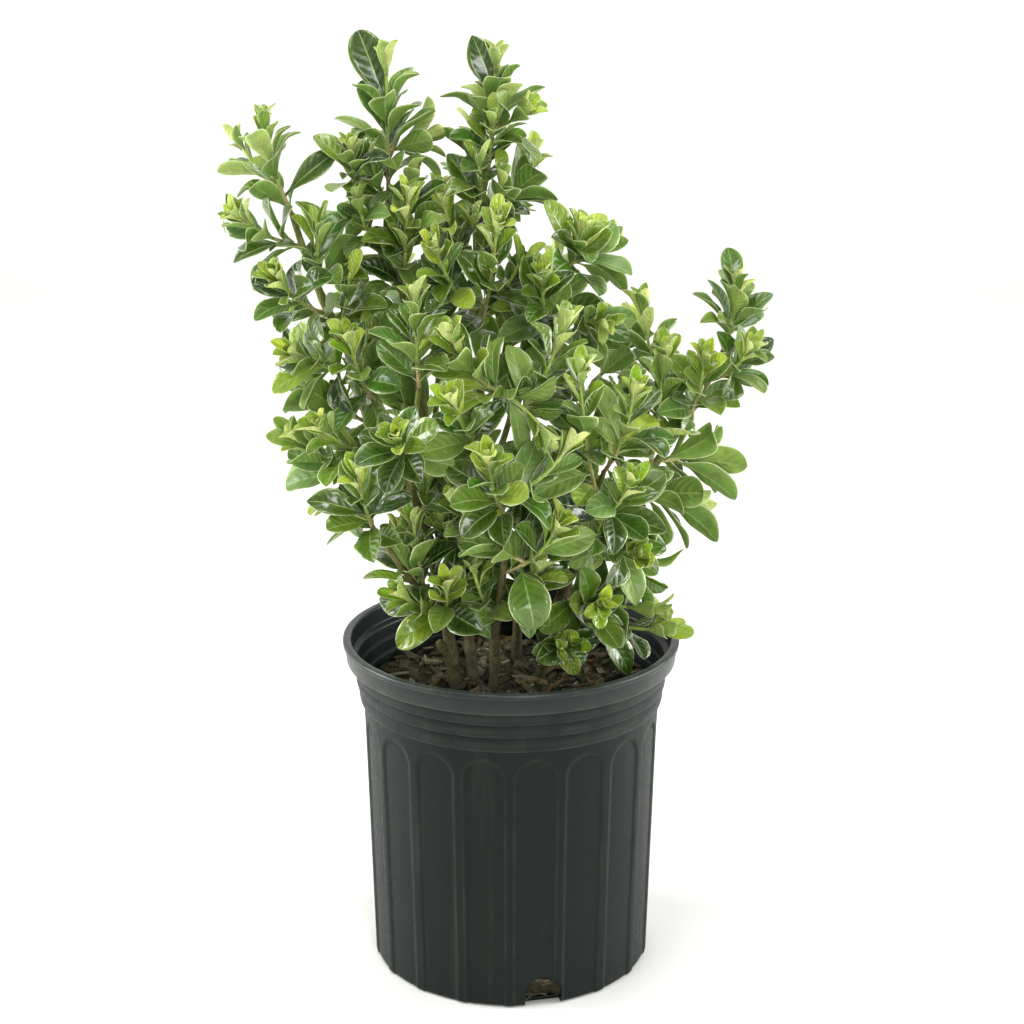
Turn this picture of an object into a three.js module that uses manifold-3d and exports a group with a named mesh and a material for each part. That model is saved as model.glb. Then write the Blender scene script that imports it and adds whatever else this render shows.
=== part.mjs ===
// A gardenia shrub growing in a fluted nursery pot.
// Millimetres, +Z up. The origin is the centre of the pot's flat underside.
// The front of the plant faces -Y.

import * as THREE from 'three';
import { mergeVertices } from 'three/addons/utils/BufferGeometryUtils.js';
import Module from 'manifold-3d';

const wasm = await Module();
wasm.setup();

// Pot
const potHeight = 232;
const rimRadius = 114.3;
const lipWidth = 6;
const lipThickness = 3.4;
const baseRadius = 95.4;
const baseCorner = 3.5;
const wall = 2.6;
const floorThickness = 2.6;
const potSides = 36;
const insideSides = 24;

// Outer steps below the rim: height, radius under the step, radius above it
const collarSteps = [
  { z: 187.5, under: 100.6, over: 102.8 },
  { z: 198.0, under: 103.1, over: 104.6 },
  { z: 207.3, under: 105.0, over: 106.5 },
  { z: 216.5, under: 107.0, over: 111.8 },
];
const bandTopRadius = 113.2;
const stepRise = 0.8;

// Flutes and drain holes
const fluteCount = 18;
const fluteAngle = 15.8;
const firstFlute = 9.5;
const fluteTop = 180;
const fluteDepth = 0.5;
const drainCount = 3;
const firstDrain = 13.4;
const drainWidth = 25;
const drainHeight = 21;
const drainReach = 86;
const fluteCutLength = 12;
const drainCutLength = 20;
const cutBelow = 5;
const archSegments = 3;

// Potting mix
const mixTop = 195;
const mixEdgeDrop = 2.5;
const mixRings = [0.38, 0.74];
const mixRelief = 2.2;
const chipCount = 10;
const chipReach = 88;
const chipLength = [13, 27];
const chipWidth = [5, 9];
const chipThickness = [2.5, 4.5];
const gap = 0.3;

// Leaves
// A station is a share of the blade's length and the share of its width there
const bladeThickness = 1.2;
const grownStations = [[0.3, 0.66], [0.6, 1.0], [0.83, 0.68]];
const youngStations = [[0.4, 0.9], [0.74, 0.84]];
const budStations = [[0.52, 1.0]];
const largeLeaf = 43;
const smallLeaf = 24;
const stalkShare = 0.14;
const youngFrom = 0.7;
const grownLeaf = { width: [0.47, 0.55], fold: 0.36 };
const youngLeaf = { width: [0.46, 0.55], fold: 0.5, bend: 0.3 };
const leadLeaf = { bend: 0.5, fold: 0.25, sunward: 4 };

// How leaves change from the foot of a leafy stem to its tip: the value at each end.
// Lengths are shares of the stem's longest leaf.
const spreadAlong = [0.86, 0.3];
const sunwardAlong = [0.6, 0.1];
const grownLength = [1.22, 1.02];
const youngLength = [1.36, 0.64];
const grownBend = [0.65, 0.35];

// How far a leaf may differ from its neighbours
const swingRange = 0.12;
const spreadRange = 0.16;
const rollRange = 0.25;
const lengthRange = [0.88, 1.1];
const bendRange = [0.6, 1.4];
const foldRange = [0.7, 1.2];

// Leaves face outward from this axis and upward
const plantAxis = [-8, 10];
const plantReach = 70;
const skyPull = 0.6;

// Stems
const limbSides = 6;
const stemRadius = 1.6;
const tipRadius = 1.1;
const stemReach = 0.68;
const stemRise = 0.36;
const leafSeatHeight = 2.4;
const firstPair = 0.2;
const pairSpan = 0.76;
const turnStep = 40;
const sideStart = 0.38;
const sidePairs = 2;
const sideLeafShare = 0.94;

// Room kept around leaves and stems
const clearance = 0.45;
const leafTries = 12;
const potRoom = 4;
const mixRoom = 9;

// Random numbers
const drawLimit = 2147483647;
const drawFactor = 16807;
const seedFactor = 7919;
const seedShift = 12345;
const mixSeed = 5;

// Colours and shine
const looks = {
  pot: { color: 0x35393a, roughness: 0.55, metalness: 0 },
  mix: { color: 0x2c231c, roughness: 0.95, metalness: 0 },
  bark: { color: 0x6b5238, roughness: 0.85, metalness: 0 },
  leaf: { color: 0x4f7a34, roughness: 0.4, metalness: 0 },
};

// Main limbs, from the potting mix up. A side limb grows out of another limb of its cane.
const canes = {
  cane_left: [
    { name: 'left', radius: [4.6, 2], points: [[-36, -4, 172], [-43, -1, 235], [-58, 7, 305],
      [-80, 10, 372], [-110, 7, 432], [-129, 1, 480], [-141, -2, 520]] },
    { name: 'leftLow', radius: [2.7, 1.8], points: [[-46, 1, 248], [-62, -22, 272], [-86, -44, 316]] },
    { name: 'leftFront', radius: [2.8, 1.8], points: [[-57, 6, 300], [-66, -26, 340], [-62, -54, 388],
      [-58, -62, 420]] },
    { name: 'cutStub', radius: [3.3, 2.8], points: [[-38, -3, 208], [-49, -7, 229]] },
  ],
  cane_tall_left: [
    { name: 'tallLeft', radius: [4, 1.8], points: [[-24, 13, 172], [-31, 17, 240], [-46, 24, 320],
      [-62, 27, 400], [-73, 27, 470], [-80, 24, 532]] },
    { name: 'tallLeftSide', radius: [2.2, 1.7], points: [[-72, 27, 462], [-90, 14, 502],
      [-100, 3, 536]] },
    { name: 'backLeft', radius: [2.8, 1.8], points: [[-44, 23, 308], [-52, 54, 352], [-50, 82, 400]] },
  ],
  cane_tall_centre: [
    { name: 'tallCentre', radius: [4.1, 1.8], points: [[-9, 24, 172], [-13, 28, 240], [-17, 34, 330],
      [-22, 37, 420], [-22, 35, 500], [-14, 32, 552]] },
    { name: 'frontMid', radius: [2.8, 1.8], points: [[-16, 33, 312], [-11, -6, 350], [-4, -44, 384],
      [2, -62, 410]] },
  ],
  cane_back: [
    { name: 'back', radius: [3.6, 1.8], points: [[2, 50, 172], [6, 55, 240], [10, 56, 320],
      [13, 47, 395], [24, 36, 440], [36, 25, 477]] },
    { name: 'backRight', radius: [2.6, 1.8], points: [[9, 56, 304], [34, 76, 345], [58, 86, 388]] },
  ],
  cane_right: [
    { name: 'right', radius: [4.2, 1.9], points: [[16, 18, 172], [27, 19, 232], [50, 17, 286],
      [78, 13, 322], [103, 8, 360], [124, 4, 396], [141, 2, 432]] },
    { name: 'rightMid', radius: [2.7, 1.8], points: [[42, 18, 270], [50, -16, 315], [60, -46, 360]] },
  ],
  cane_front: [
    { name: 'front', radius: [3.4, 1.9], points: [[-12, -8, 172], [-11, -18, 232], [-7, -40, 275],
      [-4, -58, 310], [-4, -68, 338]] },
  ],
};

// Leafy stems: the limb that each grows from, the height where it leaves it, its tip,
// its pairs of leaves, its longest leaf, and the tip of its side shoot, where it has one.
// A lead leaf is one that stands out: its size, how far it leans from the stem and where it faces.
const leafyStems = [
  { limb: 'left', seat: 520, tip: [-156, -5, 577], pairs: 4, leaf: 31,
    side: [-175, 24, 560], turn: -45,
    lead: { pair: 0, half: 0, length: 48, width: 0.4, spread: 1.05, face: [-0.4, -0.9, 0.4] } },
  { limb: 'left', seat: 499, tip: [-169, -26, 520], pairs: 3, leaf: 33 },
  { limb: 'left', seat: 452, tip: [-147, -42, 486], pairs: 4, leaf: 32 },
  { limb: 'left', seat: 416, tip: [-135, -22, 431], pairs: 4, leaf: 36 },
  { limb: 'left', seat: 472, tip: [-98, 28, 532], pairs: 3, leaf: 40 },
  { limb: 'left', seat: 392, tip: [-102, -50, 447], pairs: 4, leaf: 36 },
  { limb: 'left', seat: 372, tip: [-131, 18, 400], pairs: 4, leaf: 38, side: [-122, 48, 425] },
  { limb: 'left', seat: 330, tip: [-135, -22, 373], pairs: 4, leaf: 42 },
  { limb: 'left', seat: 350, tip: [-119, -47, 388], pairs: 3, leaf: 36 },
  { limb: 'leftLow', seat: 316, tip: [-96, -84, 368], pairs: 4, leaf: 34, side: [-106, -58, 337] },
  { limb: 'leftLow', seat: 272, tip: [-71, -18, 305], pairs: 3, leaf: 36 },
  { limb: 'leftFront', seat: 420, tip: [-60, -67, 474], pairs: 4, leaf: 34 },
  { limb: 'leftFront', seat: 372, tip: [-70, -96, 395], pairs: 4, leaf: 34 },
  { limb: 'left', seat: 246, tip: [-42, -52, 281], pairs: 3, leaf: 38, side: [-66, -36, 268] },
  { limb: 'tallLeft', seat: 532, tip: [-80, 20, 612], pairs: 5, leaf: 36,
    side: [-61, 30, 562], turn: 45,
    lead: { pair: 3, half: 0, length: 50, width: 0.5, spread: 0.45, face: [-0.3, -1, 0.2] } },
  { limb: 'tallLeftSide', seat: 536, tip: [-101, -5, 557], pairs: 4, leaf: 30 },
  { limb: 'tallLeft', seat: 474, tip: [-66, -14, 530], pairs: 4, leaf: 33, side: [-50, 22, 527] },
  { limb: 'tallLeft', seat: 424, tip: [-107, 32, 467], pairs: 4, leaf: 36 },
  { limb: 'tallLeft', seat: 410, tip: [-76, 78, 470], pairs: 4, leaf: 38 },
  { limb: 'backLeft', seat: 400, tip: [-50, 104, 456], pairs: 4, leaf: 37, side: [-22, 92, 432] },
  { limb: 'backLeft', seat: 356, tip: [-81, 84, 403], pairs: 4, leaf: 40 },
  { limb: 'tallCentre', seat: 552, tip: [-10, 30, 611], pairs: 5, leaf: 34,
    side: [4, 20, 580], turn: 45,
    lead: { pair: 3, half: 0, length: 44, width: 0.52, spread: 0.5, face: [-0.2, -1, 0.3] } },
  { limb: 'tallCentre', seat: 524, tip: [-22, 44, 565], pairs: 3, leaf: 33 },
  { limb: 'tallCentre', seat: 505, tip: [10, 44, 545], pairs: 4, leaf: 35 },
  { limb: 'tallCentre', seat: 478, tip: [-43, 0, 525], pairs: 4, leaf: 32 },
  { limb: 'tallCentre', seat: 450, tip: [-47, -38, 503], pairs: 4, leaf: 33 },
  { limb: 'tallCentre', seat: 432, tip: [-9, -36, 518], pairs: 4, leaf: 35 },
  { limb: 'tallCentre', seat: 372, tip: [-6, 78, 428], pairs: 4, leaf: 38 },
  { limb: 'frontMid', seat: 410, tip: [-34, -80, 452], pairs: 4, leaf: 34, side: [19, -88, 401] },
  { limb: 'frontMid', seat: 394, tip: [32, -66, 458], pairs: 4, leaf: 36 },
  { limb: 'frontMid', seat: 362, tip: [-35, -96, 418], pairs: 4, leaf: 36 },
  { limb: 'back', seat: 477, tip: [45, 14, 498], pairs: 4, leaf: 38, side: [58, 42, 490] },
  { limb: 'back', seat: 436, tip: [20, -24, 481], pairs: 4, leaf: 34 },
  { limb: 'back', seat: 414, tip: [30, 84, 470], pairs: 4, leaf: 37 },
  { limb: 'back', seat: 448, tip: [56, -12, 451], pairs: 4, leaf: 35 },
  { limb: 'backRight', seat: 388, tip: [81, 100, 418], pairs: 4, leaf: 38 },
  { limb: 'backRight', seat: 345, tip: [80, 92, 385], pairs: 4, leaf: 40 },
  { limb: 'right', seat: 432, tip: [146, 0, 469], pairs: 4, leaf: 33, turn: 0,
    lead: { pair: 3, half: 0, length: 34, width: 0.5, spread: 0.1, face: [0, -1, 0.1] } },
  { limb: 'right', seat: 408, tip: [152, -30, 436], pairs: 4, leaf: 30 },
  { limb: 'right', seat: 382, tip: [124, -36, 429], pairs: 4, leaf: 33 },
  { limb: 'right', seat: 372, tip: [88, 30, 449], pairs: 4, leaf: 36 },
  { limb: 'right', seat: 352, tip: [126, 26, 348], pairs: 4, leaf: 42 },
  { limb: 'right', seat: 342, tip: [99, -22, 431], pairs: 5, leaf: 34 },
  { limb: 'right', seat: 326, tip: [112, 30, 319], pairs: 3, leaf: 42 },
  { limb: 'right', seat: 296, tip: [80, -44, 305], pairs: 4, leaf: 36, side: [92, -16, 265] },
  { limb: 'right', seat: 256, tip: [58, -48, 270], pairs: 3, leaf: 34, side: [92, -30, 260] },
  { limb: 'right', seat: 222, tip: [40, -38, 240], pairs: 3, leaf: 27 },
  { limb: 'rightMid', seat: 360, tip: [77, -68, 415], pairs: 4, leaf: 34 },
  { limb: 'rightMid', seat: 342, tip: [43, -88, 434], pairs: 4, leaf: 36 },
  { limb: 'rightMid', seat: 318, tip: [74, -84, 362], pairs: 4, leaf: 36 },
  { limb: 'front', seat: 338, tip: [-14, -106, 382], pairs: 4, leaf: 35, side: [33, -98, 388] },
  { limb: 'front', seat: 292, tip: [28, -84, 332], pairs: 3, leaf: 38,
    side: [-31, -78, 344], turn: 45,
    lead: { pair: 0, half: 1, length: 47, width: 0.66, spread: 1.45, face: [0, -1, 0.25] } },
];

// Repeatable random numbers between 0 and 1
function seededDraws(seed) {
  let state = (seed * seedFactor + seedShift) % drawLimit;
  return () => {
    state = (state * drawFactor) % drawLimit;
    return state / drawLimit;
  };
}

function between(draw, low, high) {
  return low + (high - low) * draw();
}

function vector(point) {
  return new THREE.Vector3(point[0], point[1], point[2]);
}

function geometryFrom(positions, indices) {
  const geometry = new THREE.BufferGeometry();
  geometry.setAttribute('position', new THREE.Float32BufferAttribute(positions, 3));
  geometry.setIndex(indices);
  return geometry;
}

function toSolid(source) {
  const bare = source.clone();
  bare.deleteAttribute('normal');
  bare.deleteAttribute('uv');
  const geometry = mergeVertices(bare, 1e-4);
  return new wasm.Manifold(new wasm.Mesh({
    numProp: 3,
    vertProperties: new Float32Array(geometry.attributes.position.array),
    triVerts: new Uint32Array(geometry.index.array),
  }));
}

function toGeometry(solid) {
  const mesh = solid.getMesh();
  const positions = [];
  for (let i = 0; i < mesh.vertProperties.length; i += mesh.numProp) {
    positions.push(...mesh.vertProperties.slice(i, i + 3));
  }
  return geometryFrom(positions, Array.from(mesh.triVerts));
}

function largestPiece(solid) {
  return solid.decompose().reduce((best, piece) => (piece.volume() > best.volume() ? piece : best));
}

function lathe(profile, sides) {
  const points = profile.map(([radius, height]) => new THREE.Vector2(radius, height));
  return new THREE.LatheGeometry(points, sides).rotateX(Math.PI / 2);
}

// Pot

function outerProfile() {
  const outline = [[0, 0], [baseRadius - baseCorner, 0], [baseRadius, baseCorner]];
  for (const step of collarSteps) {
    outline.push([step.under, step.z], [step.over, step.z + stepRise]);
  }
  outline.push([bandTopRadius, potHeight - lipThickness], [rimRadius, potHeight - lipThickness]);
  outline.push([rimRadius, potHeight], [0, potHeight]);
  return outline;
}

function innerProfile() {
  const [foot, , , top] = collarSteps;
  return [
    [0, floorThickness],
    [baseRadius - wall, floorThickness],
    [foot.under - wall, foot.z],
    [foot.over - wall, foot.z + wall],
    [top.under - wall, top.z + wall - stepRise],
    [rimRadius - lipWidth, potHeight],
    [rimRadius - lipWidth, potHeight + wall],
    [0, potHeight + wall],
  ];
}

function archCutter(bottomWidth, topWidth, top, reach, depth) {
  const springLine = top - topWidth / 2;
  const shape = new THREE.Shape();
  shape.moveTo(-bottomWidth / 2, -cutBelow);
  shape.lineTo(bottomWidth / 2, -cutBelow);
  shape.lineTo(topWidth / 2, springLine);
  shape.absarc(0, springLine, topWidth / 2, 0, Math.PI, false);
  const cutter = new THREE.ExtrudeGeometry(shape, {
    depth: reach, bevelEnabled: false, curveSegments: archSegments,
  });
  return cutter.rotateX(Math.PI / 2).translate(0, -depth, 0);
}

function makePot() {
  const turn = THREE.MathUtils.degToRad(firstFlute);
  let pot = toSolid(lathe(outerProfile(), potSides).rotateZ(turn));
  pot = pot.subtract(toSolid(lathe(innerProfile(), insideSides).rotateZ(turn)));
  const wallTop = collarSteps[0];
  const lean = Math.atan2(wallTop.under - baseRadius, wallTop.z - baseCorner);
  const halfFlute = THREE.MathUtils.degToRad(fluteAngle / 2);
  const floorAt = baseRadius * Math.cos(halfFlute) - fluteDepth;
  for (let i = 0; i < fluteCount; i += 1) {
    const flute = archCutter(
      2 * baseRadius * Math.sin(halfFlute),
      2 * wallTop.under * Math.sin(halfFlute),
      fluteTop, fluteCutLength, floorAt,
    );
    flute.rotateX(lean);
    flute.rotateZ(THREE.MathUtils.degToRad(firstFlute + i * 360 / fluteCount));
    pot = pot.subtract(toSolid(flute));
  }
  for (let i = 0; i < drainCount; i += 1) {
    const hole = archCutter(drainWidth, drainWidth, drainHeight, drainCutLength, drainReach);
    hole.rotateZ(THREE.MathUtils.degToRad(firstDrain + i * 360 / drainCount));
    pot = pot.subtract(toSolid(hole));
  }
  return toGeometry(pot);
}

// Potting mix

function mixHeight(x, y) {
  const radius = Math.hypot(x, y) / rimRadius;
  const waves = Math.sin(x * 0.11 + 0.6) * Math.cos(y * 0.093) + 0.6 * Math.sin(x * 0.05 - y * 0.17);
  return mixTop + mixRelief * waves - mixEdgeDrop * radius * radius;
}

function mixBody() {
  const step = collarSteps[0];
  const levels = [
    [baseRadius - wall - gap * 1.4, floorThickness + gap],
    [step.under - wall - gap * 1.4, step.z],
  ];
  const topRadius = step.over - wall - gap * 1.6;
  const positions = [];
  const indices = [];
  const turn = THREE.MathUtils.degToRad(firstFlute);
  const addRing = (radius, heightAt) => {
    for (let i = 0; i < insideSides; i += 1) {
      const angle = turn + (i / insideSides) * 2 * Math.PI;
      const x = radius * Math.sin(angle);
      const y = -radius * Math.cos(angle);
      positions.push(x, y, heightAt(x, y));
    }
  };
  levels.forEach(([radius, height]) => addRing(radius, () => height));
  addRing(topRadius, (x, y) => mixHeight(x, y));
  [...mixRings].reverse().forEach((part) => addRing(topRadius * part, mixHeight));
  const ringCount = levels.length + 1 + mixRings.length;
  for (let ring = 0; ring < ringCount - 1; ring += 1) {
    for (let i = 0; i < insideSides; i += 1) {
      const a = ring * insideSides + i;
      const b = ring * insideSides + ((i + 1) % insideSides);
      indices.push(a, b, b + insideSides, a, b + insideSides, a + insideSides);
    }
  }
  const bottomCentre = positions.length / 3;
  positions.push(0, 0, levels[0][1]);
  const topCentre = bottomCentre + 1;
  positions.push(0, 0, mixHeight(0, 0));
  const lastRing = (ringCount - 1) * insideSides;
  for (let i = 0; i < insideSides; i += 1) {
    const next = (i + 1) % insideSides;
    indices.push(bottomCentre, next, i);
    indices.push(topCentre, lastRing + i, lastRing + next);
  }
  return geometryFrom(positions, indices);
}

function barkChip(draw) {
  const angle = between(draw, 0, 2 * Math.PI);
  const radius = chipReach * Math.sqrt(between(draw, 0.02, 1));
  const x = radius * Math.cos(angle);
  const y = radius * Math.sin(angle);
  const length = between(draw, ...chipLength);
  const width = between(draw, ...chipWidth);
  const thickness = between(draw, ...chipThickness);
  const chip = new THREE.BoxGeometry(length, width, thickness);
  const corners = chip.attributes.position;
  for (let i = 0; i < corners.count; i += 1) {
    const narrow = 1 - 0.45 * Math.abs(corners.getX(i) / length + 0.3);
    corners.setY(i, corners.getY(i) * narrow);
  }
  chip.rotateX(between(draw, -0.35, 0.35));
  chip.rotateY(between(draw, -0.22, 0.22));
  chip.rotateZ(between(draw, 0, Math.PI));
  return chip.translate(x, y, mixHeight(x, y) + thickness * 0.18);
}

function makePottingMix() {
  const draw = seededDraws(mixSeed);
  let mix = toSolid(mixBody());
  for (let i = 0; i < chipCount; i += 1) {
    mix = mix.add(toSolid(barkChip(draw)));
  }
  for (const limbs of Object.values(canes)) {
    mix = mix.subtract(toSolid(limbTube(limbs[0], gap)));
  }
  return toGeometry(mix);
}

// Canes

// A closed tube along a path, its radius running from one end's value to the other's
function taperedTube(pathPoints, startRadius, endRadius, sides) {
  const positions = [];
  const indices = [];
  const last = pathPoints.length - 1;
  let across = new THREE.Vector3(1, 0, 0);
  pathPoints.forEach((centre, i) => {
    const ahead = pathPoints[Math.min(i + 1, last)];
    const behind = pathPoints[Math.max(i - 1, 0)];
    const along = ahead.clone().sub(behind).normalize();
    across = across.clone().addScaledVector(along, -across.dot(along)).normalize();
    const other = along.clone().cross(across);
    const radius = startRadius + (endRadius - startRadius) * (i / last);
    for (let k = 0; k < sides; k += 1) {
      const angle = (k / sides) * 2 * Math.PI;
      const rim = centre.clone()
        .addScaledVector(across, radius * Math.cos(angle))
        .addScaledVector(other, radius * Math.sin(angle));
      positions.push(rim.x, rim.y, rim.z);
    }
  });
  for (let i = 0; i < last; i += 1) {
    for (let k = 0; k < sides; k += 1) {
      const a = i * sides + k;
      const b = i * sides + ((k + 1) % sides);
      indices.push(a, b, b + sides, a, b + sides, a + sides);
    }
  }
  for (let k = 1; k < sides - 1; k += 1) {
    indices.push(0, k + 1, k);
    indices.push(last * sides, last * sides + k, last * sides + k + 1);
  }
  return geometryFrom(positions, indices);
}

function limbCurve(limb) {
  return new THREE.CatmullRomCurve3(limb.points.map(vector), false, 'centripetal');
}

function limbTube(limb, extra) {
  const steps = limb.points.length;
  const path = limbCurve(limb).getPoints(steps);
  if (extra > 0) {
    const end = path[path.length - 1];
    const before = path[path.length - 2];
    end.add(end.clone().sub(before).setLength(extra));
    const start = path[0];
    start.add(start.clone().sub(path[1]).setLength(extra));
  }
  const widen = extra / Math.cos(Math.PI / limbSides);
  return taperedTube(path, limb.radius[0] + widen, limb.radius[1] + widen, limbSides);
}

function makeCane(limbs) {
  return limbs.map((limb) => toSolid(limbTube(limb, 0))).reduce((cane, limb) => cane.add(limb));
}

// Leaves

// The middle of the blade at a share of its length, and the way it faces there
function bladeAxis(leaf, share) {
  const bend = leaf.bend;
  const turned = bend * share;
  const forward = (leaf.length * Math.sin(turned)) / bend;
  const sunk = (leaf.length * (1 - Math.cos(turned))) / bend;
  const centre = leaf.root.clone()
    .addScaledVector(leaf.along, forward)
    .addScaledVector(leaf.up, -sunk);
  const normal = leaf.up.clone().multiplyScalar(Math.cos(turned))
    .addScaledVector(leaf.along, Math.sin(turned));
  return { centre, normal };
}

function bladeRing(leaf, share, halfWidth, halfThickness) {
  const { centre, normal } = bladeAxis(leaf, share);
  const raise = halfWidth * Math.sin(leaf.fold);
  const reach = halfWidth * Math.cos(leaf.fold);
  const edge = (side) => centre.clone()
    .addScaledVector(leaf.side, side * reach)
    .addScaledVector(normal, raise);
  return [
    centre.clone().addScaledVector(normal, -halfThickness),
    edge(-1),
    centre.clone().addScaledVector(normal, halfThickness),
    edge(1),
  ];
}

function stationsFor(length) {
  if (length > largeLeaf) return grownStations;
  return length > smallLeaf ? youngStations : budStations;
}

// The blade's sections from its foot to its tip: under, left, over and right of the midrib
function bladeRings(leaf, swell) {
  const stations = stationsFor(leaf.length);
  const thickness = bladeThickness / 2 + swell;
  const rings = stations.map(([share, width]) => (
    bladeRing(leaf, share, (leaf.width / 2) * width + swell, thickness)));
  return { rings, tip: bladeAxis(leaf, 1 + swell / leaf.length).centre };
}

// Triangles of a blade whose sections start at the point numbered first
function bladeTriangles(first, ringCount, tip) {
  const triangles = [];
  const last = first + (ringCount - 1) * 4;
  for (let k = 0; k < 4; k += 1) {
    const next = (k + 1) % 4;
    for (let ring = first; ring < last; ring += 4) {
      triangles.push([ring + k, ring + next, ring + 4 + next]);
      triangles.push([ring + k, ring + 4 + next, ring + 4 + k]);
    }
    triangles.push([last + k, last + next, tip]);
  }
  return triangles;
}

// Closed stand-ins a little larger than the leaf: its blade alone, and with its stalk
function bladeGuard(leaf) {
  const { rings, tip } = bladeRings(leaf, clearance);
  const foot = bladeAxis(leaf, stalkShare).centre;
  const points = [...rings.flat(), foot, tip];
  const triangles = bladeTriangles(0, rings.length, points.length - 1);
  for (let k = 0; k < 4; k += 1) {
    triangles.push([(k + 1) % 4, k, points.length - 2]);
  }
  return { points, triangles };
}

function leafGuard(leaf) {
  const { rings, tip } = bladeRings(leaf, clearance);
  const foot = bladeRing(leaf, 0, stemRadius + clearance, leafSeatHeight / 2 + clearance);
  const points = [...foot, ...rings.flat(), tip];
  const triangles = bladeTriangles(0, rings.length + 1, points.length - 1);
  triangles.push([0, 2, 1], [0, 3, 2]);
  return { points, triangles };
}

function meshGeometry(mesh) {
  const positions = mesh.points.flatMap((point) => [point.x, point.y, point.z]);
  return geometryFrom(positions, mesh.triangles.flat());
}

// One leaf of a pair, from its seat on the stem and the draws for this try
function leafAt(seat, side, spec, swing, draw) {
  const turn = seat.turn + side * (Math.PI / 2) + Math.PI / 4 + swing;
  const outward = seat.across.clone().multiplyScalar(Math.cos(turn))
    .addScaledVector(seat.other, Math.sin(turn));
  const spread = spec.spread + between(draw, -spreadRange, spreadRange);
  const direction = seat.along.clone().multiplyScalar(Math.cos(spread))
    .addScaledVector(outward, Math.sin(spread)).normalize();
  const up = seat.along.clone().multiplyScalar(Math.sin(spread))
    .addScaledVector(outward, -Math.cos(spread));
  const light = new THREE.Vector3(seat.centre.x - plantAxis[0], seat.centre.y - plantAxis[1], 0)
    .divideScalar(plantReach);
  light.z = skyPull;
  up.addScaledVector(spec.face ? vector(spec.face) : light, spec.sunward);
  up.addScaledVector(direction, -up.dot(direction)).normalize();
  const across = direction.clone().cross(up);
  const roll = between(draw, -rollRange, rollRange);
  const rolledUp = up.clone().multiplyScalar(Math.cos(roll)).addScaledVector(across, Math.sin(roll));
  const length = spec.length * between(draw, ...lengthRange);
  return {
    root: seat.centre.clone().addScaledVector(outward, stemRadius * 0.5),
    along: direction,
    up: rolledUp,
    side: direction.clone().cross(rolledUp),
    length,
    width: length * between(draw, ...spec.width),
    bend: spec.bend * between(draw, ...bendRange),
    fold: spec.fold * between(draw, ...foldRange),
  };
}

function along(ends, place) {
  return ends[0] + (ends[1] - ends[0]) * place;
}

// A leaf's form at its place on a leafy stem, from the foot, 0, to the tip, 1
function leafSpec(place, longest) {
  const shared = {
    spread: along(spreadAlong, place * place),
    sunward: along(sunwardAlong, place),
  };
  if (place > youngFrom) {
    return { ...youngLeaf, ...shared, length: longest * along(youngLength, place) };
  }
  return {
    ...grownLeaf,
    ...shared,
    length: longest * along(grownLength, place),
    bend: along(grownBend, place),
  };
}

function leadSpec(lead) {
  const { length, width, spread, face } = lead;
  return { ...leadLeaf, length, width: [width, width], spread, face };
}

// Obstacles: what is already in place, each as points, triangles and a box

function obstacle(mesh, node) {
  const box = new THREE.Box3().setFromPoints(mesh.points);
  return { ...mesh, box, node };
}

function segmentMeetsTriangle(a, b, p, q, r) {
  const edge1 = q.clone().sub(p);
  const edge2 = r.clone().sub(p);
  const ray = b.clone().sub(a);
  const across = ray.clone().cross(edge2);
  const scale = edge1.dot(across);
  if (Math.abs(scale) < 1e-9) return false;
  const from = a.clone().sub(p);
  const u = from.dot(across) / scale;
  if (u < 0 || u > 1) return false;
  const turned = from.clone().cross(edge1);
  const v = ray.dot(turned) / scale;
  if (v < 0 || u + v > 1) return false;
  const t = edge2.dot(turned) / scale;
  return t >= 0 && t <= 1;
}

function edgesCross(first, second) {
  const near = first.triangles.filter((triangle) => {
    const box = new THREE.Box3().setFromPoints(triangle.map((i) => first.points[i]));
    return box.intersectsBox(second.box);
  });
  return near.some((triangle) => triangle.some((start, k) => {
    const end = triangle[(k + 1) % 3];
    if (start > end) return false;
    const a = first.points[start];
    const b = first.points[end];
    return second.triangles.some(([p, q, r]) => (
      segmentMeetsTriangle(a, b, second.points[p], second.points[q], second.points[r])));
  }));
}

function meshesMeet(first, second) {
  return first.box.intersectsBox(second.box)
    && (edgesCross(first, second) || edgesCross(second, first));
}

function tubeObstacle(tube, node) {
  const corners = tube.attributes.position;
  const points = [];
  for (let i = 0; i < corners.count; i += 1) {
    points.push(new THREE.Vector3().fromBufferAttribute(corners, i));
  }
  const triangles = [];
  for (let i = 0; i < tube.index.count; i += 3) {
    triangles.push([0, 1, 2].map((k) => tube.index.getX(i + k)));
  }
  return obstacle({ points, triangles }, node);
}

function clearOfPot(mesh) {
  return mesh.points.every((point) => {
    const radius = Math.hypot(point.x, point.y);
    return point.z > potHeight + potRoom
      || (radius < rimRadius - lipWidth - potRoom && point.z > mixTop + mixRoom);
  });
}

// Leafy stems

function limbByName(name) {
  return Object.values(canes).flat().find((limb) => limb.name === name);
}

function pointAtHeight(curve, height) {
  const samples = curve.getPoints(200);
  return samples.reduce((best, point) => (
    Math.abs(point.z - height) < Math.abs(best.z - height) ? point : best));
}

function stemCurve(start, tip) {
  const reach = tip.clone().sub(start);
  reach.multiply(new THREE.Vector3(stemReach, stemReach, stemRise));
  const bend = start.clone().add(reach);
  return new THREE.QuadraticBezierCurve3(start, bend, tip);
}

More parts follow.
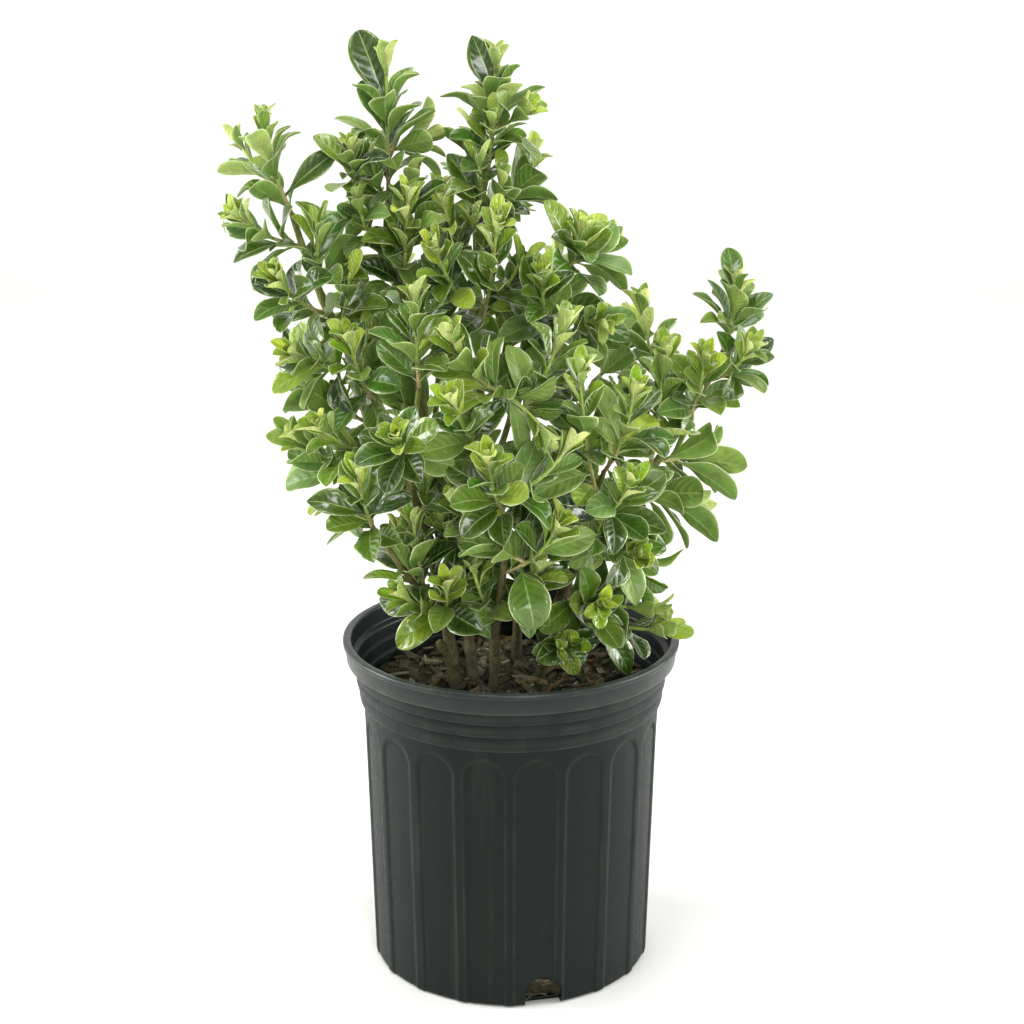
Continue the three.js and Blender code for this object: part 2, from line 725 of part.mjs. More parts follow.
// The stem's sections: its foot, then one under and one over each pair of leaves
function stemSections(shoot) {
  const length = shoot.curve.getLength();
  const shares = [0];
  for (let pair = 0; pair < shoot.pairs; pair += 1) {
    const middle = pairShare(pair, shoot.pairs);
    shares.push(middle - leafSeatHeight / 2 / length, middle + leafSeatHeight / 2 / length);
  }
  let across = new THREE.Vector3(1, 0, 0);
  return shares.map((share) => {
    const along = shoot.curve.getTangent(share);
    across = across.clone().addScaledVector(along, -across.dot(along)).normalize();
    return {
      centre: shoot.curve.getPoint(share),
      along,
      across,
      other: along.clone().cross(across),
      radius: stemRadius + (tipRadius - stemRadius) * share,
      turn: shoot.turn,
    };
  });
}

function sectionCorners(section, extra) {
  return [0, 1, 2, 3].map((k) => {
    const angle = section.turn + (k * Math.PI) / 2;
    return section.centre.clone()
      .addScaledVector(section.across, (section.radius + extra) * Math.cos(angle))
      .addScaledVector(section.other, (section.radius + extra) * Math.sin(angle));
  });
}

function pairShare(pair, pairs) {
  return firstPair + (pairSpan * (pair + 0.25)) / (pairs - 0.6);
}

// A stem and its leaves as one closed mesh. Each leaf grows out of one side of the stem.
function shootMesh(shoot, leaves, extra) {
  const sections = stemSections(shoot);
  const points = sections.flatMap((section) => sectionCorners(section, extra));
  const triangles = [[0, 2, 1], [0, 3, 2]];
  for (let i = 0; i < sections.length - 1; i += 1) {
    for (let k = 0; k < 4; k += 1) {
      const next = (k + 1) % 4;
      const corners = [i * 4 + k, i * 4 + next, i * 4 + 4 + next, i * 4 + 4 + k];
      const leaf = leaves.find((one) => one.section === i && one.sideNumber === k);
      if (leaf) {
        const { rings, tip } = bladeRings(leaf, 0);
        const first = points.length;
        points.push(...rings.flat(), tip);
        for (let j = 0; j < 4; j += 1) {
          triangles.push([corners[j], corners[(j + 1) % 4], first + j]);
          triangles.push([corners[(j + 1) % 4], first + ((j + 1) % 4), first + j]);
        }
        triangles.push(...bladeTriangles(first, rings.length, points.length - 1));
      } else {
        triangles.push([corners[0], corners[1], corners[2]], [corners[0], corners[2], corners[3]]);
      }
    }
  }
  const last = (sections.length - 1) * 4;
  points.push(shoot.curve.getPoint(1));
  for (let k = 0; k < 4; k += 1) {
    triangles.push([last + k, last + ((k + 1) % 4), points.length - 1]);
  }
  return { points, triangles };
}

// The leafy stem's own shoots: the main one and, where it has one, its side shoot
function shootsOf(row) {
  const seat = pointAtHeight(limbCurve(limbByName(row.limb)), row.seat);
  const turn = THREE.MathUtils.degToRad(row.turn ?? row.seat * turnStep);
  const main = {
    curve: stemCurve(seat, vector(row.tip)),
    pairs: row.pairs,
    leaf: row.leaf,
    lead: row.lead,
    turn,
    leaves: [],
  };
  if (!row.side) return [main];
  const fork = main.curve.getPoint(sideStart);
  const side = {
    curve: stemCurve(fork, vector(row.side)),
    pairs: sidePairs,
    leaf: row.leaf * sideLeafShare,
    turn,
    leaves: [],
  };
  return [main, side];
}

function placeLeaves(shoot, seed, node, placed) {
  const sections = stemSections(shoot);
  for (let pair = 0; pair < shoot.pairs; pair += 1) {
    const place = (pair + 1) / shoot.pairs;
    const section = 1 + pair * 2;
    const seat = { ...sections[section] };
    seat.centre = seat.centre.clone().lerp(sections[section + 1].centre, 0.5);
    for (let half = 0; half < 2; half += 1) {
      const lead = shoot.lead?.pair === pair && shoot.lead.half === half;
      const spec = lead ? leadSpec(shoot.lead) : leafSpec(place, shoot.leaf);
      const draw = seededDraws(seed * 100 + pair * 2 + half);
      const sideNumber = (pair % 2) + half * 2;
      for (let attempt = 0; attempt < leafTries; attempt += 1) {
        const swing = between(draw, -swingRange, swingRange) * (1 + attempt / 2);
        const leaf = leafAt(seat, sideNumber, spec, swing, draw);
        const whole = obstacle(leafGuard(leaf), node);
        const blade = obstacle(bladeGuard(leaf), node);
        const blocked = !clearOfPot(whole) || placed.some((other) => (
          other.node === node ? other.blade && meshesMeet(blade, other.blade) : meshesMeet(whole, other)));
        if (!blocked) {
          placed.push({ ...whole, blade });
          shoot.leaves.push({ ...leaf, section, sideNumber });
          break;
        }
      }
    }
  }
}

function makePlant() {
  const placed = [];
  for (const [node, limbs] of Object.entries(canes)) {
    limbs.forEach((limb) => placed.push(tubeObstacle(limbTube(limb, clearance), node)));
  }
  const stems = leafyStems.map((row, i) => {
    const node = `leafy_stem_${String(i + 1).padStart(2, '0')}`;
    const shoots = shootsOf(row);
    shoots.forEach((shoot) => {
      placed.push(obstacle(shootMesh(shoot, [], clearance), node));
    });
    return { node, row, shoots };
  });
  stems.forEach((stem, i) => {
    stem.shoots.forEach((shoot, k) => placeLeaves(shoot, i * 2 + k + 1, stem.node, placed));
  });
  return stems;
}

function makeLeafyStem({ row, shoots }) {
  const limb = limbByName(row.limb);
  const solids = shoots.map((shoot) => toSolid(meshGeometry(shootMesh(shoot, shoot.leaves, 0))));
  const seated = solids[0].subtract(toSolid(limbTube(limb, gap)));
  const whole = solids[1] ? seated.add(solids[1]) : seated;
  return largestPiece(whole);
}

// The finished object

const group = new THREE.Group();

function addPart(name, geometry, look) {
  const part = new THREE.Mesh(geometry, new THREE.MeshStandardMaterial(look));
  part.name = name;
  group.add(part);
}

addPart('nursery_pot', makePot(), looks.pot);
addPart('potting_mix', makePottingMix(), looks.mix);

for (const [name, limbs] of Object.entries(canes)) {
  addPart(name, toGeometry(makeCane(limbs)), looks.bark);
}

for (const stem of makePlant()) {
  addPart(stem.node, toGeometry(makeLeafyStem(stem)), looks.leaf);
}

export default group;
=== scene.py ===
import math

import bpy
import numpy as np
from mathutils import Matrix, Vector, noise
from mathutils.bvhtree import BVHTree
from mathutils.kdtree import KDTree


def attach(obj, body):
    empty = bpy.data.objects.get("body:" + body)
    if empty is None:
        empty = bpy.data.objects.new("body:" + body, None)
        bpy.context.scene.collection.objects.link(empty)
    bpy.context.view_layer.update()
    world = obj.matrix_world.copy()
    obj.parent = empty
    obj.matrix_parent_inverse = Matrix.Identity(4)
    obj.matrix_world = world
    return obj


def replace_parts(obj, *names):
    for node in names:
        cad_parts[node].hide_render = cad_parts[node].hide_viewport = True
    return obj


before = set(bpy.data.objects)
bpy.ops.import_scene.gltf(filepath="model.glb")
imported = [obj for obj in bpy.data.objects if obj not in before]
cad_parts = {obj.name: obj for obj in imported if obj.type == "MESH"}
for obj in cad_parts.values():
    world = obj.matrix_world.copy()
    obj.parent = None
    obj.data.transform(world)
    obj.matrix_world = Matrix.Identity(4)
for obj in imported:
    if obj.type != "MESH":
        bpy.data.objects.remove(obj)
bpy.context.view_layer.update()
mm = 0.001
print("frame loaded:", len(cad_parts), "parts")


# small helpers

def seededDraws(seed):
    state = [(seed * 7919 + 12345) % 2147483647]

    def draw(low=0.0, high=1.0):
        state[0] = (state[0] * 16807) % 2147483647
        return low + (high - low) * state[0] / 2147483647
    return draw


def unit(v):
    return v / np.linalg.norm(v)


def smooth(low, high, x):
    t = np.clip((x - low) / (high - low), 0.0, 1.0)
    return t * t * (3 - 2 * t)


def paint(red, green, blue):
    def linear(c):
        c /= 255
        return c / 12.92 if c <= 0.04045 else ((c + 0.055) / 1.055) ** 2.4
    return (linear(red), linear(green), linear(blue), 1.0)


def lumps(points, size, seed):
    # smooth noise from -1 to 1 at each point, in features about size mm across
    shift = Vector((seed * 17.3, seed * 5.1, seed * 9.7))
    return np.array([noise.noise(Vector(p) / size + shift) for p in points])


def putInScene(name, data):
    placed = bpy.data.objects.new(name, data)
    bpy.context.scene.collection.objects.link(placed)
    return placed


class MeshPile:
    # gathers points and faces of many small shapes into one mesh; its values age, tint and under
    # are rubbed edge with painted highlight, collar and inner side on the pot, and kind and shine of a
    # chip in the mix

    def __init__(self):
        self.points, self.faces, self.uv = [], [], []
        self.values = {"age": [], "tint": [], "under": []}
        self.material, self.flat = [], []
        self.count = 0

    def add(self, points, faces, uv=None, age=0.0, tint=0.5, under=0.0, material=0, flat=False):
        total = len(points)
        self.points.append(np.asarray(points, float))
        self.faces += [tuple(i + self.count for i in face) for face in faces]
        self.uv.append(np.zeros((total, 2)) if uv is None else uv)
        for name, value in (("age", age), ("tint", tint), ("under", under)):
            self.values[name].append(np.broadcast_to(value, total))
        self.material += [material] * len(faces)
        self.flat += [flat] * len(faces) if isinstance(flat, bool) else list(flat)
        self.count += total

    def build(self, name, materials):
        mesh = bpy.data.meshes.new(name)
        points = np.concatenate(self.points) * mm
        mesh.from_pydata(points.tolist(), [], self.faces)
        for material in materials:
            mesh.materials.append(material)
        mesh.polygons.foreach_set("material_index", self.material)
        mesh.polygons.foreach_set("use_smooth", [not flat for flat in self.flat])
        corners = np.zeros(len(mesh.loops), np.int32)
        mesh.loops.foreach_get("vertex_index", corners)
        layer = mesh.uv_layers.new(name="surfaceMap")
        layer.data.foreach_set("uv", np.concatenate(self.uv)[corners].ravel())
        for key, parts in self.values.items():
            attribute = mesh.attributes.new(key, "FLOAT", "POINT")
            attribute.data.foreach_set("value", np.concatenate(parts).astype(np.float32))
        piece = putInScene(name, mesh)
        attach(piece, "root")
        return piece


def gridFaces(rows, columns, closed=False, first=0, turned=False):
    faces = []
    for i in range(rows - 1):
        for j in range(columns if closed else columns - 1):
            a = first + i * columns + j
            b = first + i * columns + (j + 1) % columns
            face = (a, b, b + columns, a + columns)
            faces.append(face[::-1] if turned else face)
    return faces


def ringAt(radius, angles, height):
    return np.column_stack(np.broadcast_arrays(radius * np.cos(angles), radius * np.sin(angles), height))


def tube(path, radii, sides, ragged=0.0, seed=0):
    # a closed tube along a path, its uv in mm: round the tube and along it
    path = np.asarray(path, float)
    across = np.array([1.0, 0.0, 0.0])
    angles = np.arange(sides) * 2 * math.pi / sides
    points, uv, walked = [], [], 0.0
    for i, centre in enumerate(path):
        along = unit(path[min(i + 1, len(path) - 1)] - path[max(i - 1, 0)])
        across = unit(across - along * across.dot(along))
        other = np.cross(along, across)
        ring = np.cos(angles)[:, None] * across + np.sin(angles)[:, None] * other
        radius = np.full(sides, radii[i])
        if ragged:
            radius = radius * (1 + ragged * lumps(centre + ring * radii[i], 5.0, seed))
        points.append(centre + ring * radius[:, None])
        uv.append(np.column_stack([angles * radii[i], np.full(sides, walked)]))
        if i + 1 < len(path):
            walked += np.linalg.norm(path[i + 1] - centre)
    faces = gridFaces(len(path), sides, closed=True)
    last = (len(path) - 1) * sides
    faces += [tuple(range(sides))[::-1], tuple(range(last, last + sides))]
    return np.concatenate(points), faces, np.concatenate(uv)


# shaders

class NodeBoard:
    # short ways to place and join shader nodes

    def __init__(self, tree):
        self.tree = tree

    def add(self, kind, inputs=None, **settings):
        node = self.tree.nodes.new(kind)
        for key, value in settings.items():
            setattr(node, key, value)
        self.fill(node, inputs or {})
        return node

    def fill(self, node, inputs):
        for key, value in inputs.items():
            if isinstance(value, bpy.types.NodeSocket):
                self.tree.links.new(value, node.inputs[key])
            else:
                node.inputs[key].default_value = value

    def math(self, operation, *values):
        return self.add("ShaderNodeMath", dict(enumerate(values)), operation=operation).outputs[0]

    def times(self, first, second):
        return self.math("MULTIPLY", first, second)

    def timesPlus(self, first, second, third):
        return self.math("MULTIPLY_ADD", first, second, third)

    def less(self, first, second):
        return self.math("SUBTRACT", first, second)

    def band(self, value, low, high, start=0.0, end=1.0):
        # a soft step between two values
        return self.add("ShaderNodeMapRange", {
            "Value": value, "From Min": low, "From Max": high, "To Min": start, "To Max": end,
        }, interpolation_type="SMOOTHSTEP").outputs["Result"]

    def mix(self, factor, first, second, blend="MIX"):
        return self.add("ShaderNodeMix", {0: factor, 6: first, 7: second},
                        data_type="RGBA", blend_type=blend).outputs[2]

    def ramp(self, value, colour, steps):
        # lays further colours over the first as the value rises
        for low, high, other in steps:
            colour = self.mix(self.band(value, low, high), colour, other)
        return colour

    def over(self, colour, mask, amount, other):
        # lays a second colour over the first where the mask is
        return self.mix(self.times(mask, amount), colour, other)

    def noise(self, place, scale, detail, rough=0.5):
        return self.add("ShaderNodeTexNoise", {"Vector": place, "Scale": scale, "Detail": detail,
                                               "Roughness": rough}).outputs["Fac"]

    def spots(self, place, scale, low, high):
        cells = self.add("ShaderNodeTexVoronoi", {"Vector": place, "Scale": scale})
        return self.band(cells.outputs["Distance"], low, high, 1.0, 0.0)

    def bump(self, height, distance, strength):
        return self.add("ShaderNodeBump", {"Height": height, "Distance": distance,
                                           "Strength": strength}).outputs["Normal"]

    def value(self, name):
        return self.add("ShaderNodeAttribute", attribute_name=name).outputs["Fac"]

    def objectPlace(self):
        return self.add("ShaderNodeTexCoord").outputs["Object"]

    def surfaceMap(self):
        return self.add("ShaderNodeUVMap", uv_map="surfaceMap").outputs["UV"]

    def stretch(self, place, scale):
        return self.add("ShaderNodeMapping", {"Vector": place, "Scale": scale}).outputs[0]

    def group(self, tree, **inputs):
        return self.add("ShaderNodeGroup", inputs, node_tree=tree).outputs


def newGroup(name, inputs, outputs):
    tree = bpy.data.node_groups.new(name, "ShaderNodeTree")
    for key, kind, value in inputs:
        socket = tree.interface.new_socket(key, in_out="INPUT", socket_type=kind)
        if value is not None:
            socket.default_value = value
    for key, kind in outputs:
        tree.interface.new_socket(key, in_out="OUTPUT", socket_type=kind)
    board = NodeBoard(tree)
    return tree, board, board.add("NodeGroupInput"), board.add("NodeGroupOutput")


def makeMottle():
    # cloudy light and dark patches over a colour
    tree, board, given, out = newGroup(
        "mottle",
        [("Colour", "NodeSocketColor", None), ("Scale", "NodeSocketFloat", 60.0),
         ("Amount", "NodeSocketFloat", 0.2)],
        [("Colour", "NodeSocketColor"), ("Mask", "NodeSocketFloat")])
    amount = given.outputs["Amount"]
    mask = board.band(board.noise(board.objectPlace(), given.outputs["Scale"], 4.0, 0.6), 0.3, 0.7)
    light = board.timesPlus(mask, board.times(amount, 2.0), board.less(1.0, amount))
    grey = board.add("ShaderNodeCombineColor", {"Red": light, "Green": light, "Blue": light})
    board.fill(out, {"Colour": board.mix(1.0, given.outputs["Colour"], grey.outputs[0], "MULTIPLY"),
                     "Mask": mask})
    return tree


def makeGrain():
    # fine pitted relief, as a normal and as a height
    tree, board, given, out = newGroup(
        "grain",
        [("Scale", "NodeSocketFloat", 900.0), ("Depth", "NodeSocketFloat", 0.0003),
         ("Strength", "NodeSocketFloat", 0.5)],
        [("Normal", "NodeSocketVector"), ("Height", "NodeSocketFloat")])
    pits = board.noise(board.objectPlace(), given.outputs["Scale"], 2.0)
    board.fill(out, {"Normal": board.bump(pits, given.outputs["Depth"], given.outputs["Strength"]),
                     "Height": pits})
    return tree


mottle = makeMottle()
grain = makeGrain()


def newMaterial(name, **values):
    material = bpy.data.materials.new(name)
    material.use_nodes = True
    board = NodeBoard(material.node_tree)
    shader = material.node_tree.nodes["Principled BSDF"]
    board.fill(shader, values)
    return material, board, shader


leafLook = {
    "dark": paint(18, 50, 2), "mid": paint(60, 102, 14), "warm": paint(104, 138, 66),
    "young": paint(142, 184, 24), "bright": paint(212, 226, 80), "under": paint(118, 150, 64),
    # edge: the pale colour of a painted highlight round the blade's rim
    "youngUnder": paint(222, 232, 146), "vein": paint(168, 196, 112), "edge": paint(230, 238, 182),
    "veinCount": 7.0, "veinLean": 1.7, "veinWidth": 0.08,
    "gloss": 0.25, "matte": 0.46, "youngGloss": 0.36, "underGloss": 0.55, "relief": 0.0008,
}


def makeLeafMaterial():
    look = leafLook
    material, board, shader = newMaterial("gardeniaLeaf", **{
        "Subsurface Weight": 0.12, "Subsurface Scale": 0.002, "Specular IOR Level": 0.5,
        "Subsurface Radius": (0.6, 1.0, 0.25), "Coat Roughness": 0.13, "Coat IOR": 1.45})
    age, tint, under = board.value("age"), board.value("tint"), board.value("under")
    place = board.add("ShaderNodeSeparateXYZ", {"Vector": board.surfaceMap()})
    out = board.times(board.math("ABSOLUTE", board.less(place.outputs["X"], 0.5)), 2.0)
    wobble = board.noise(board.objectPlace(), 160.0, 2.0)

    # side veins leave the midrib and curve towards the tip
    lean = board.times(board.math("POWER", out, 1.25), look["veinLean"])
    phase = board.less(board.times(place.outputs["Y"], look["veinCount"]), lean)
    phase = board.math("ADD", phase, board.times(wobble, 0.5))
    ridge = board.math("PINGPONG", phase, 0.5)
    vein = board.band(ridge, 0.0, look["veinWidth"], 1.0, 0.0)
    vein = board.times(vein, board.band(out, 0.72, 0.96, 1.0, 0.0))
    midrib = board.band(out, 0.02, 0.075, 1.0, 0.0)

    grown = board.ramp(tint, look["dark"], [(0.12, 0.62, look["mid"]), (0.68, 1.0, look["warm"])])
    green = board.mix(age, grown, board.mix(tint, look["young"], look["bright"]))
    below = board.mix(board.band(age, 0.25, 0.85), look["under"], look["youngUnder"])
    green = board.over(green, under, 0.82, below)
    patch = board.group(mottle, Colour=green, Scale=130.0, Amount=0.16)
    colour = board.over(patch["Colour"], vein, 0.12, look["vein"])
    # painted highlight: the blade is painted paler towards its margin
    colour = board.over(colour, board.band(out, 0.45, 1.0), 0.2, look["vein"])
    colour = board.over(colour, midrib, 0.6, look["vein"])
    # a pale line round the blade is a painted highlight where its rim catches light
    colour = board.over(colour, board.band(out, 0.92, 0.985), 0.8, look["edge"])

    rough = board.timesPlus(age, look["youngGloss"] - look["gloss"],
                            board.band(tint, 0.6, 0.9, look["gloss"], look["matte"]))
    rough = board.timesPlus(under, look["underGloss"] - look["gloss"], rough)
    waxy = board.times(board.less(1.0, under), board.band(tint, 0.4, 0.9, 0.9, 0.2))

    # the blade swells between its veins
    relief = board.less(board.times(ridge, 1.2), board.times(vein, 0.25))
    relief = board.timesPlus(wobble, 0.8, board.less(relief, board.times(midrib, 0.6)))
    facing = board.timesPlus(under, -2.0, 1.0)
    board.fill(shader, {
        "Base Color": colour, "Roughness": board.timesPlus(patch["Mask"], 0.1, rough),
        "Coat Weight": waxy, "Normal": board.bump(board.times(relief, facing), look["relief"], 0.7)})
    return material


stemLook = {"wood": paint(138, 118, 82), "tan": paint(172, 156, 104), "green": paint(146, 166, 84),
            "fresh": paint(172, 194, 96), "rough": 0.5}


def makeStemMaterial():
    # young bark: brown at the foot, green at the tip
    look = stemLook
    material, board, shader = newMaterial("greenStem", **{
        "Subsurface Weight": 0.05, "Subsurface Scale": 0.001, "Roughness": look["rough"]})
    colour = board.ramp(board.value("age"), look["wood"], [
        (0.0, 0.35, look["tan"]), (0.25, 0.7, look["green"]), (0.7, 1.0, look["fresh"])])
    patch = board.group(mottle, Colour=colour, Scale=420.0, Amount=0.22)
    pits = board.group(grain, Scale=1500.0, Depth=0.0003, Strength=0.5)
    board.fill(shader, {"Base Color": patch["Colour"], "Normal": pits["Normal"]})
    return material


barkLook = {"grey": paint(106, 102, 70), "brown": paint(80, 74, 44), "crack": paint(46, 42, 26),
            "spot": paint(156, 152, 112), "upper": paint(128, 138, 68)}


def makeBarkMaterial():
    look = barkLook
    material, board, shader = newMaterial("woodyBark", **{"Specular IOR Level": 0.3})
    age, flat = board.value("age"), board.surfaceMap()
    fibre = board.noise(board.stretch(flat, (0.9, 0.16, 1.0)), 1.0, 5.0, 0.65)
    spot = board.spots(flat, 0.28, 0.1, 0.17)
    base = board.mix(board.value("tint"), look["brown"], look["grey"])
    base = board.mix(board.band(age, 0.2, 0.75, 0.0, 0.85), base, look["upper"])
    base = board.mix(board.band(age, 0.0, 0.22, 0.45, 0.0), base, look["crack"])
    patch = board.group(mottle, Colour=base, Scale=150.0, Amount=0.3)
    crack = board.band(fibre, 0.36, 0.5, 1.0, 0.0)
    colour = board.over(patch["Colour"], crack, 0.7, look["crack"])
    board.fill(shader, {
        "Base Color": board.over(colour, spot, 0.45, look["spot"]),
        "Roughness": board.band(fibre, 0.3, 0.7, 0.95, 0.7),
        "Normal": board.bump(board.timesPlus(spot, 0.4, fibre), 0.0012, 0.7)})
    return material


potLook = {"base": paint(5, 14, 11), "deep": paint(11, 22, 18), "collar": paint(3, 9, 8),
           "scuffAndHighlight": paint(76, 84, 78), "dust": paint(78, 86, 74), "rough": 0.46,
           "shine": (0.91, 1.0, 0.96, 1.0)}


def makePotMaterial():
    look = potLook
    material, board, shader = newMaterial("nurseryPlastic", **{
        "Specular IOR Level": 0.24, "Specular Tint": look["shine"], "Coat Roughness": 0.28})
    edge, collar, inner = board.value("age"), board.value("tint"), board.value("under")
    place = board.objectPlace()
    base = board.group(mottle, Colour=look["base"], Scale=14.0, Amount=0.13)
    fine = board.group(mottle, Colour=base["Colour"], Scale=300.0, Amount=0.07)
    colour = board.mix(board.band(collar, 0.0, 0.5, 0.0, 0.8), fine["Colour"], look["collar"])
    colour = board.over(colour, inner, 0.6, look["deep"])
    # dry streaks run up and down the wall
    streaks = board.band(board.noise(board.stretch(place, (90.0, 90.0, 7.0)), 1.0, 3.0), 0.55, 0.8)
    colour = board.over(colour, streaks, 0.1, look["dust"])
    # rims, ring edges and flute edges are painted paler: some rubbing, and a painted highlight where
    # they catch light
    worn = board.noise(place, 45.0, 5.0)
    wearAndHighlight = board.times(edge, board.band(worn, 0.35, 0.65, 0.35, 1.0))
    colour = board.over(colour, wearAndHighlight, 0.55, look["scuffAndHighlight"])
    speck = board.times(board.spots(place, 260.0, 0.05, 0.12), board.band(worn, 0.5, 0.7))
    rough = board.timesPlus(fine["Mask"], 0.1, look["rough"])
    # the mould left the wall pebbled, more in some places than in others
    pebble = board.times(board.group(grain, Scale=1100.0)["Height"],
                         board.band(base["Mask"], 0.2, 0.9, 0.25, 1.0))
    board.fill(shader, {
        "Base Color": board.over(colour, speck, 0.3, look["dust"]),
        "Roughness": board.timesPlus(wearAndHighlight, -0.08, rough),
        "Coat Weight": board.band(collar, 0.5, 1.0, 0.0, 0.3),
        "Normal": board.bump(pebble, 0.0005, 0.55)})
    return material


mixLook = {"soil": paint(48, 48, 33), "dark": paint(74, 70, 50), "brown": paint(106, 92, 62),
           "grey": paint(146, 144, 118), "rust": paint(136, 98, 54)}


def makeMixMaterial():
    look = mixLook
    material, board, shader = newMaterial("barkMix", **{"Specular IOR Level": 0.35})
    colour = board.ramp(board.value("age"), look["soil"], [
        (0.05, 0.35, look["dark"]), (0.35, 0.65, look["brown"]), (0.7, 0.85, look["grey"]),
        (0.93, 0.97, look["rust"])])
    patch = board.group(mottle, Colour=colour, Scale=260.0, Amount=0.4)
    fibres = board.noise(board.objectPlace(), 700.0, 4.0)
    gaps = board.band(fibres, 0.3, 0.6, 0.5, 0.0)
    board.fill(shader, {
        "Base Color": board.mix(gaps, patch["Colour"], look["soil"]),
        "Roughness": board.timesPlus(board.value("tint"), -0.25, 0.9),
        "Normal": board.bump(fibres, 0.0015, 0.9)})
    return material


leafMaterial = makeLeafMaterial()
stemMaterial = makeStemMaterial()
barkMaterial = makeBarkMaterial()
potMaterial = makePotMaterial()
mixMaterial = makeMixMaterial()
print("materials made")

# pot, in mm

potShape = {
    "rim": 114.3, "base": 95.4, "corner": 3.5, "columns": 432, "flutes": 18, "fluteAngle": 15.8,
    "firstFlute": 9.5, "fluteTop": 180, "edgeDepth": 1.1, "middleDepth": 1.2,
    "drains": 3, "firstDrain": 13.4, "drainWidth": 25, "drainHeight": 21, "drainReach": (106.0, 86.0),
    "innerFoot": 92.8, "innerTop": 98.0, "innerHeight": 187.5, "floor": 2.6,
    "wobble": 0.35, "wobbleFrom": 187.9, "lipFrom": 229.5, "lipWearAndHighlight": 0.2, "ridgeWearAndHighlight": 0.3,
}
# outer wall above the flutes, from the foot of the collar up over the lip and down inside:
# radius, height, how far the corner is rounded
potEdges = [
    (100.6, 187.2, 0.4), (102.6, 187.9, 0.9), (103.8, 192.8, 2.6), (103.1, 197.8, 0.4),
    (104.4, 198.5, 0.7), (105.7, 202.8, 2.4), (105.0, 207.1, 0.4), (106.3, 207.8, 0.7),
    (107.6, 211.9, 2.4), (107.0, 216.0, 0.5), (111.8, 216.9, 1.2),
    (113.1, 227.8, 0.4), (114.3, 228.5, 0.7), (114.3, 232.0, 1.5), (108.6, 232.0, 1.9),
    (108.3, 219.2, 1.0), (104.4, 217.8, 1.2), (103.9, 209.2, 0.5), (102.4, 208.0, 0.8),
    (102.0, 199.8, 0.5), (100.7, 198.8, 0.8), (100.3, 190.2, 0.5), (98.0, 187.8, 0.8),
]


def roundedPath(edges, steps=3):
    path = []
    for i, (radius, height, bevel) in enumerate(edges):
        corner = np.array([radius, height], float)
        if i in (0, len(edges) - 1):
            path.append(corner)
            continue
        before = unit(np.array(edges[i - 1][:2], float) - corner)
        after = unit(np.array(edges[i + 1][:2], float) - corner)
        for k in range(steps + 1):
            t = k / steps
            path.append(corner + before * bevel * (1 - t) ** 2 + after * bevel * t * t)
    return path


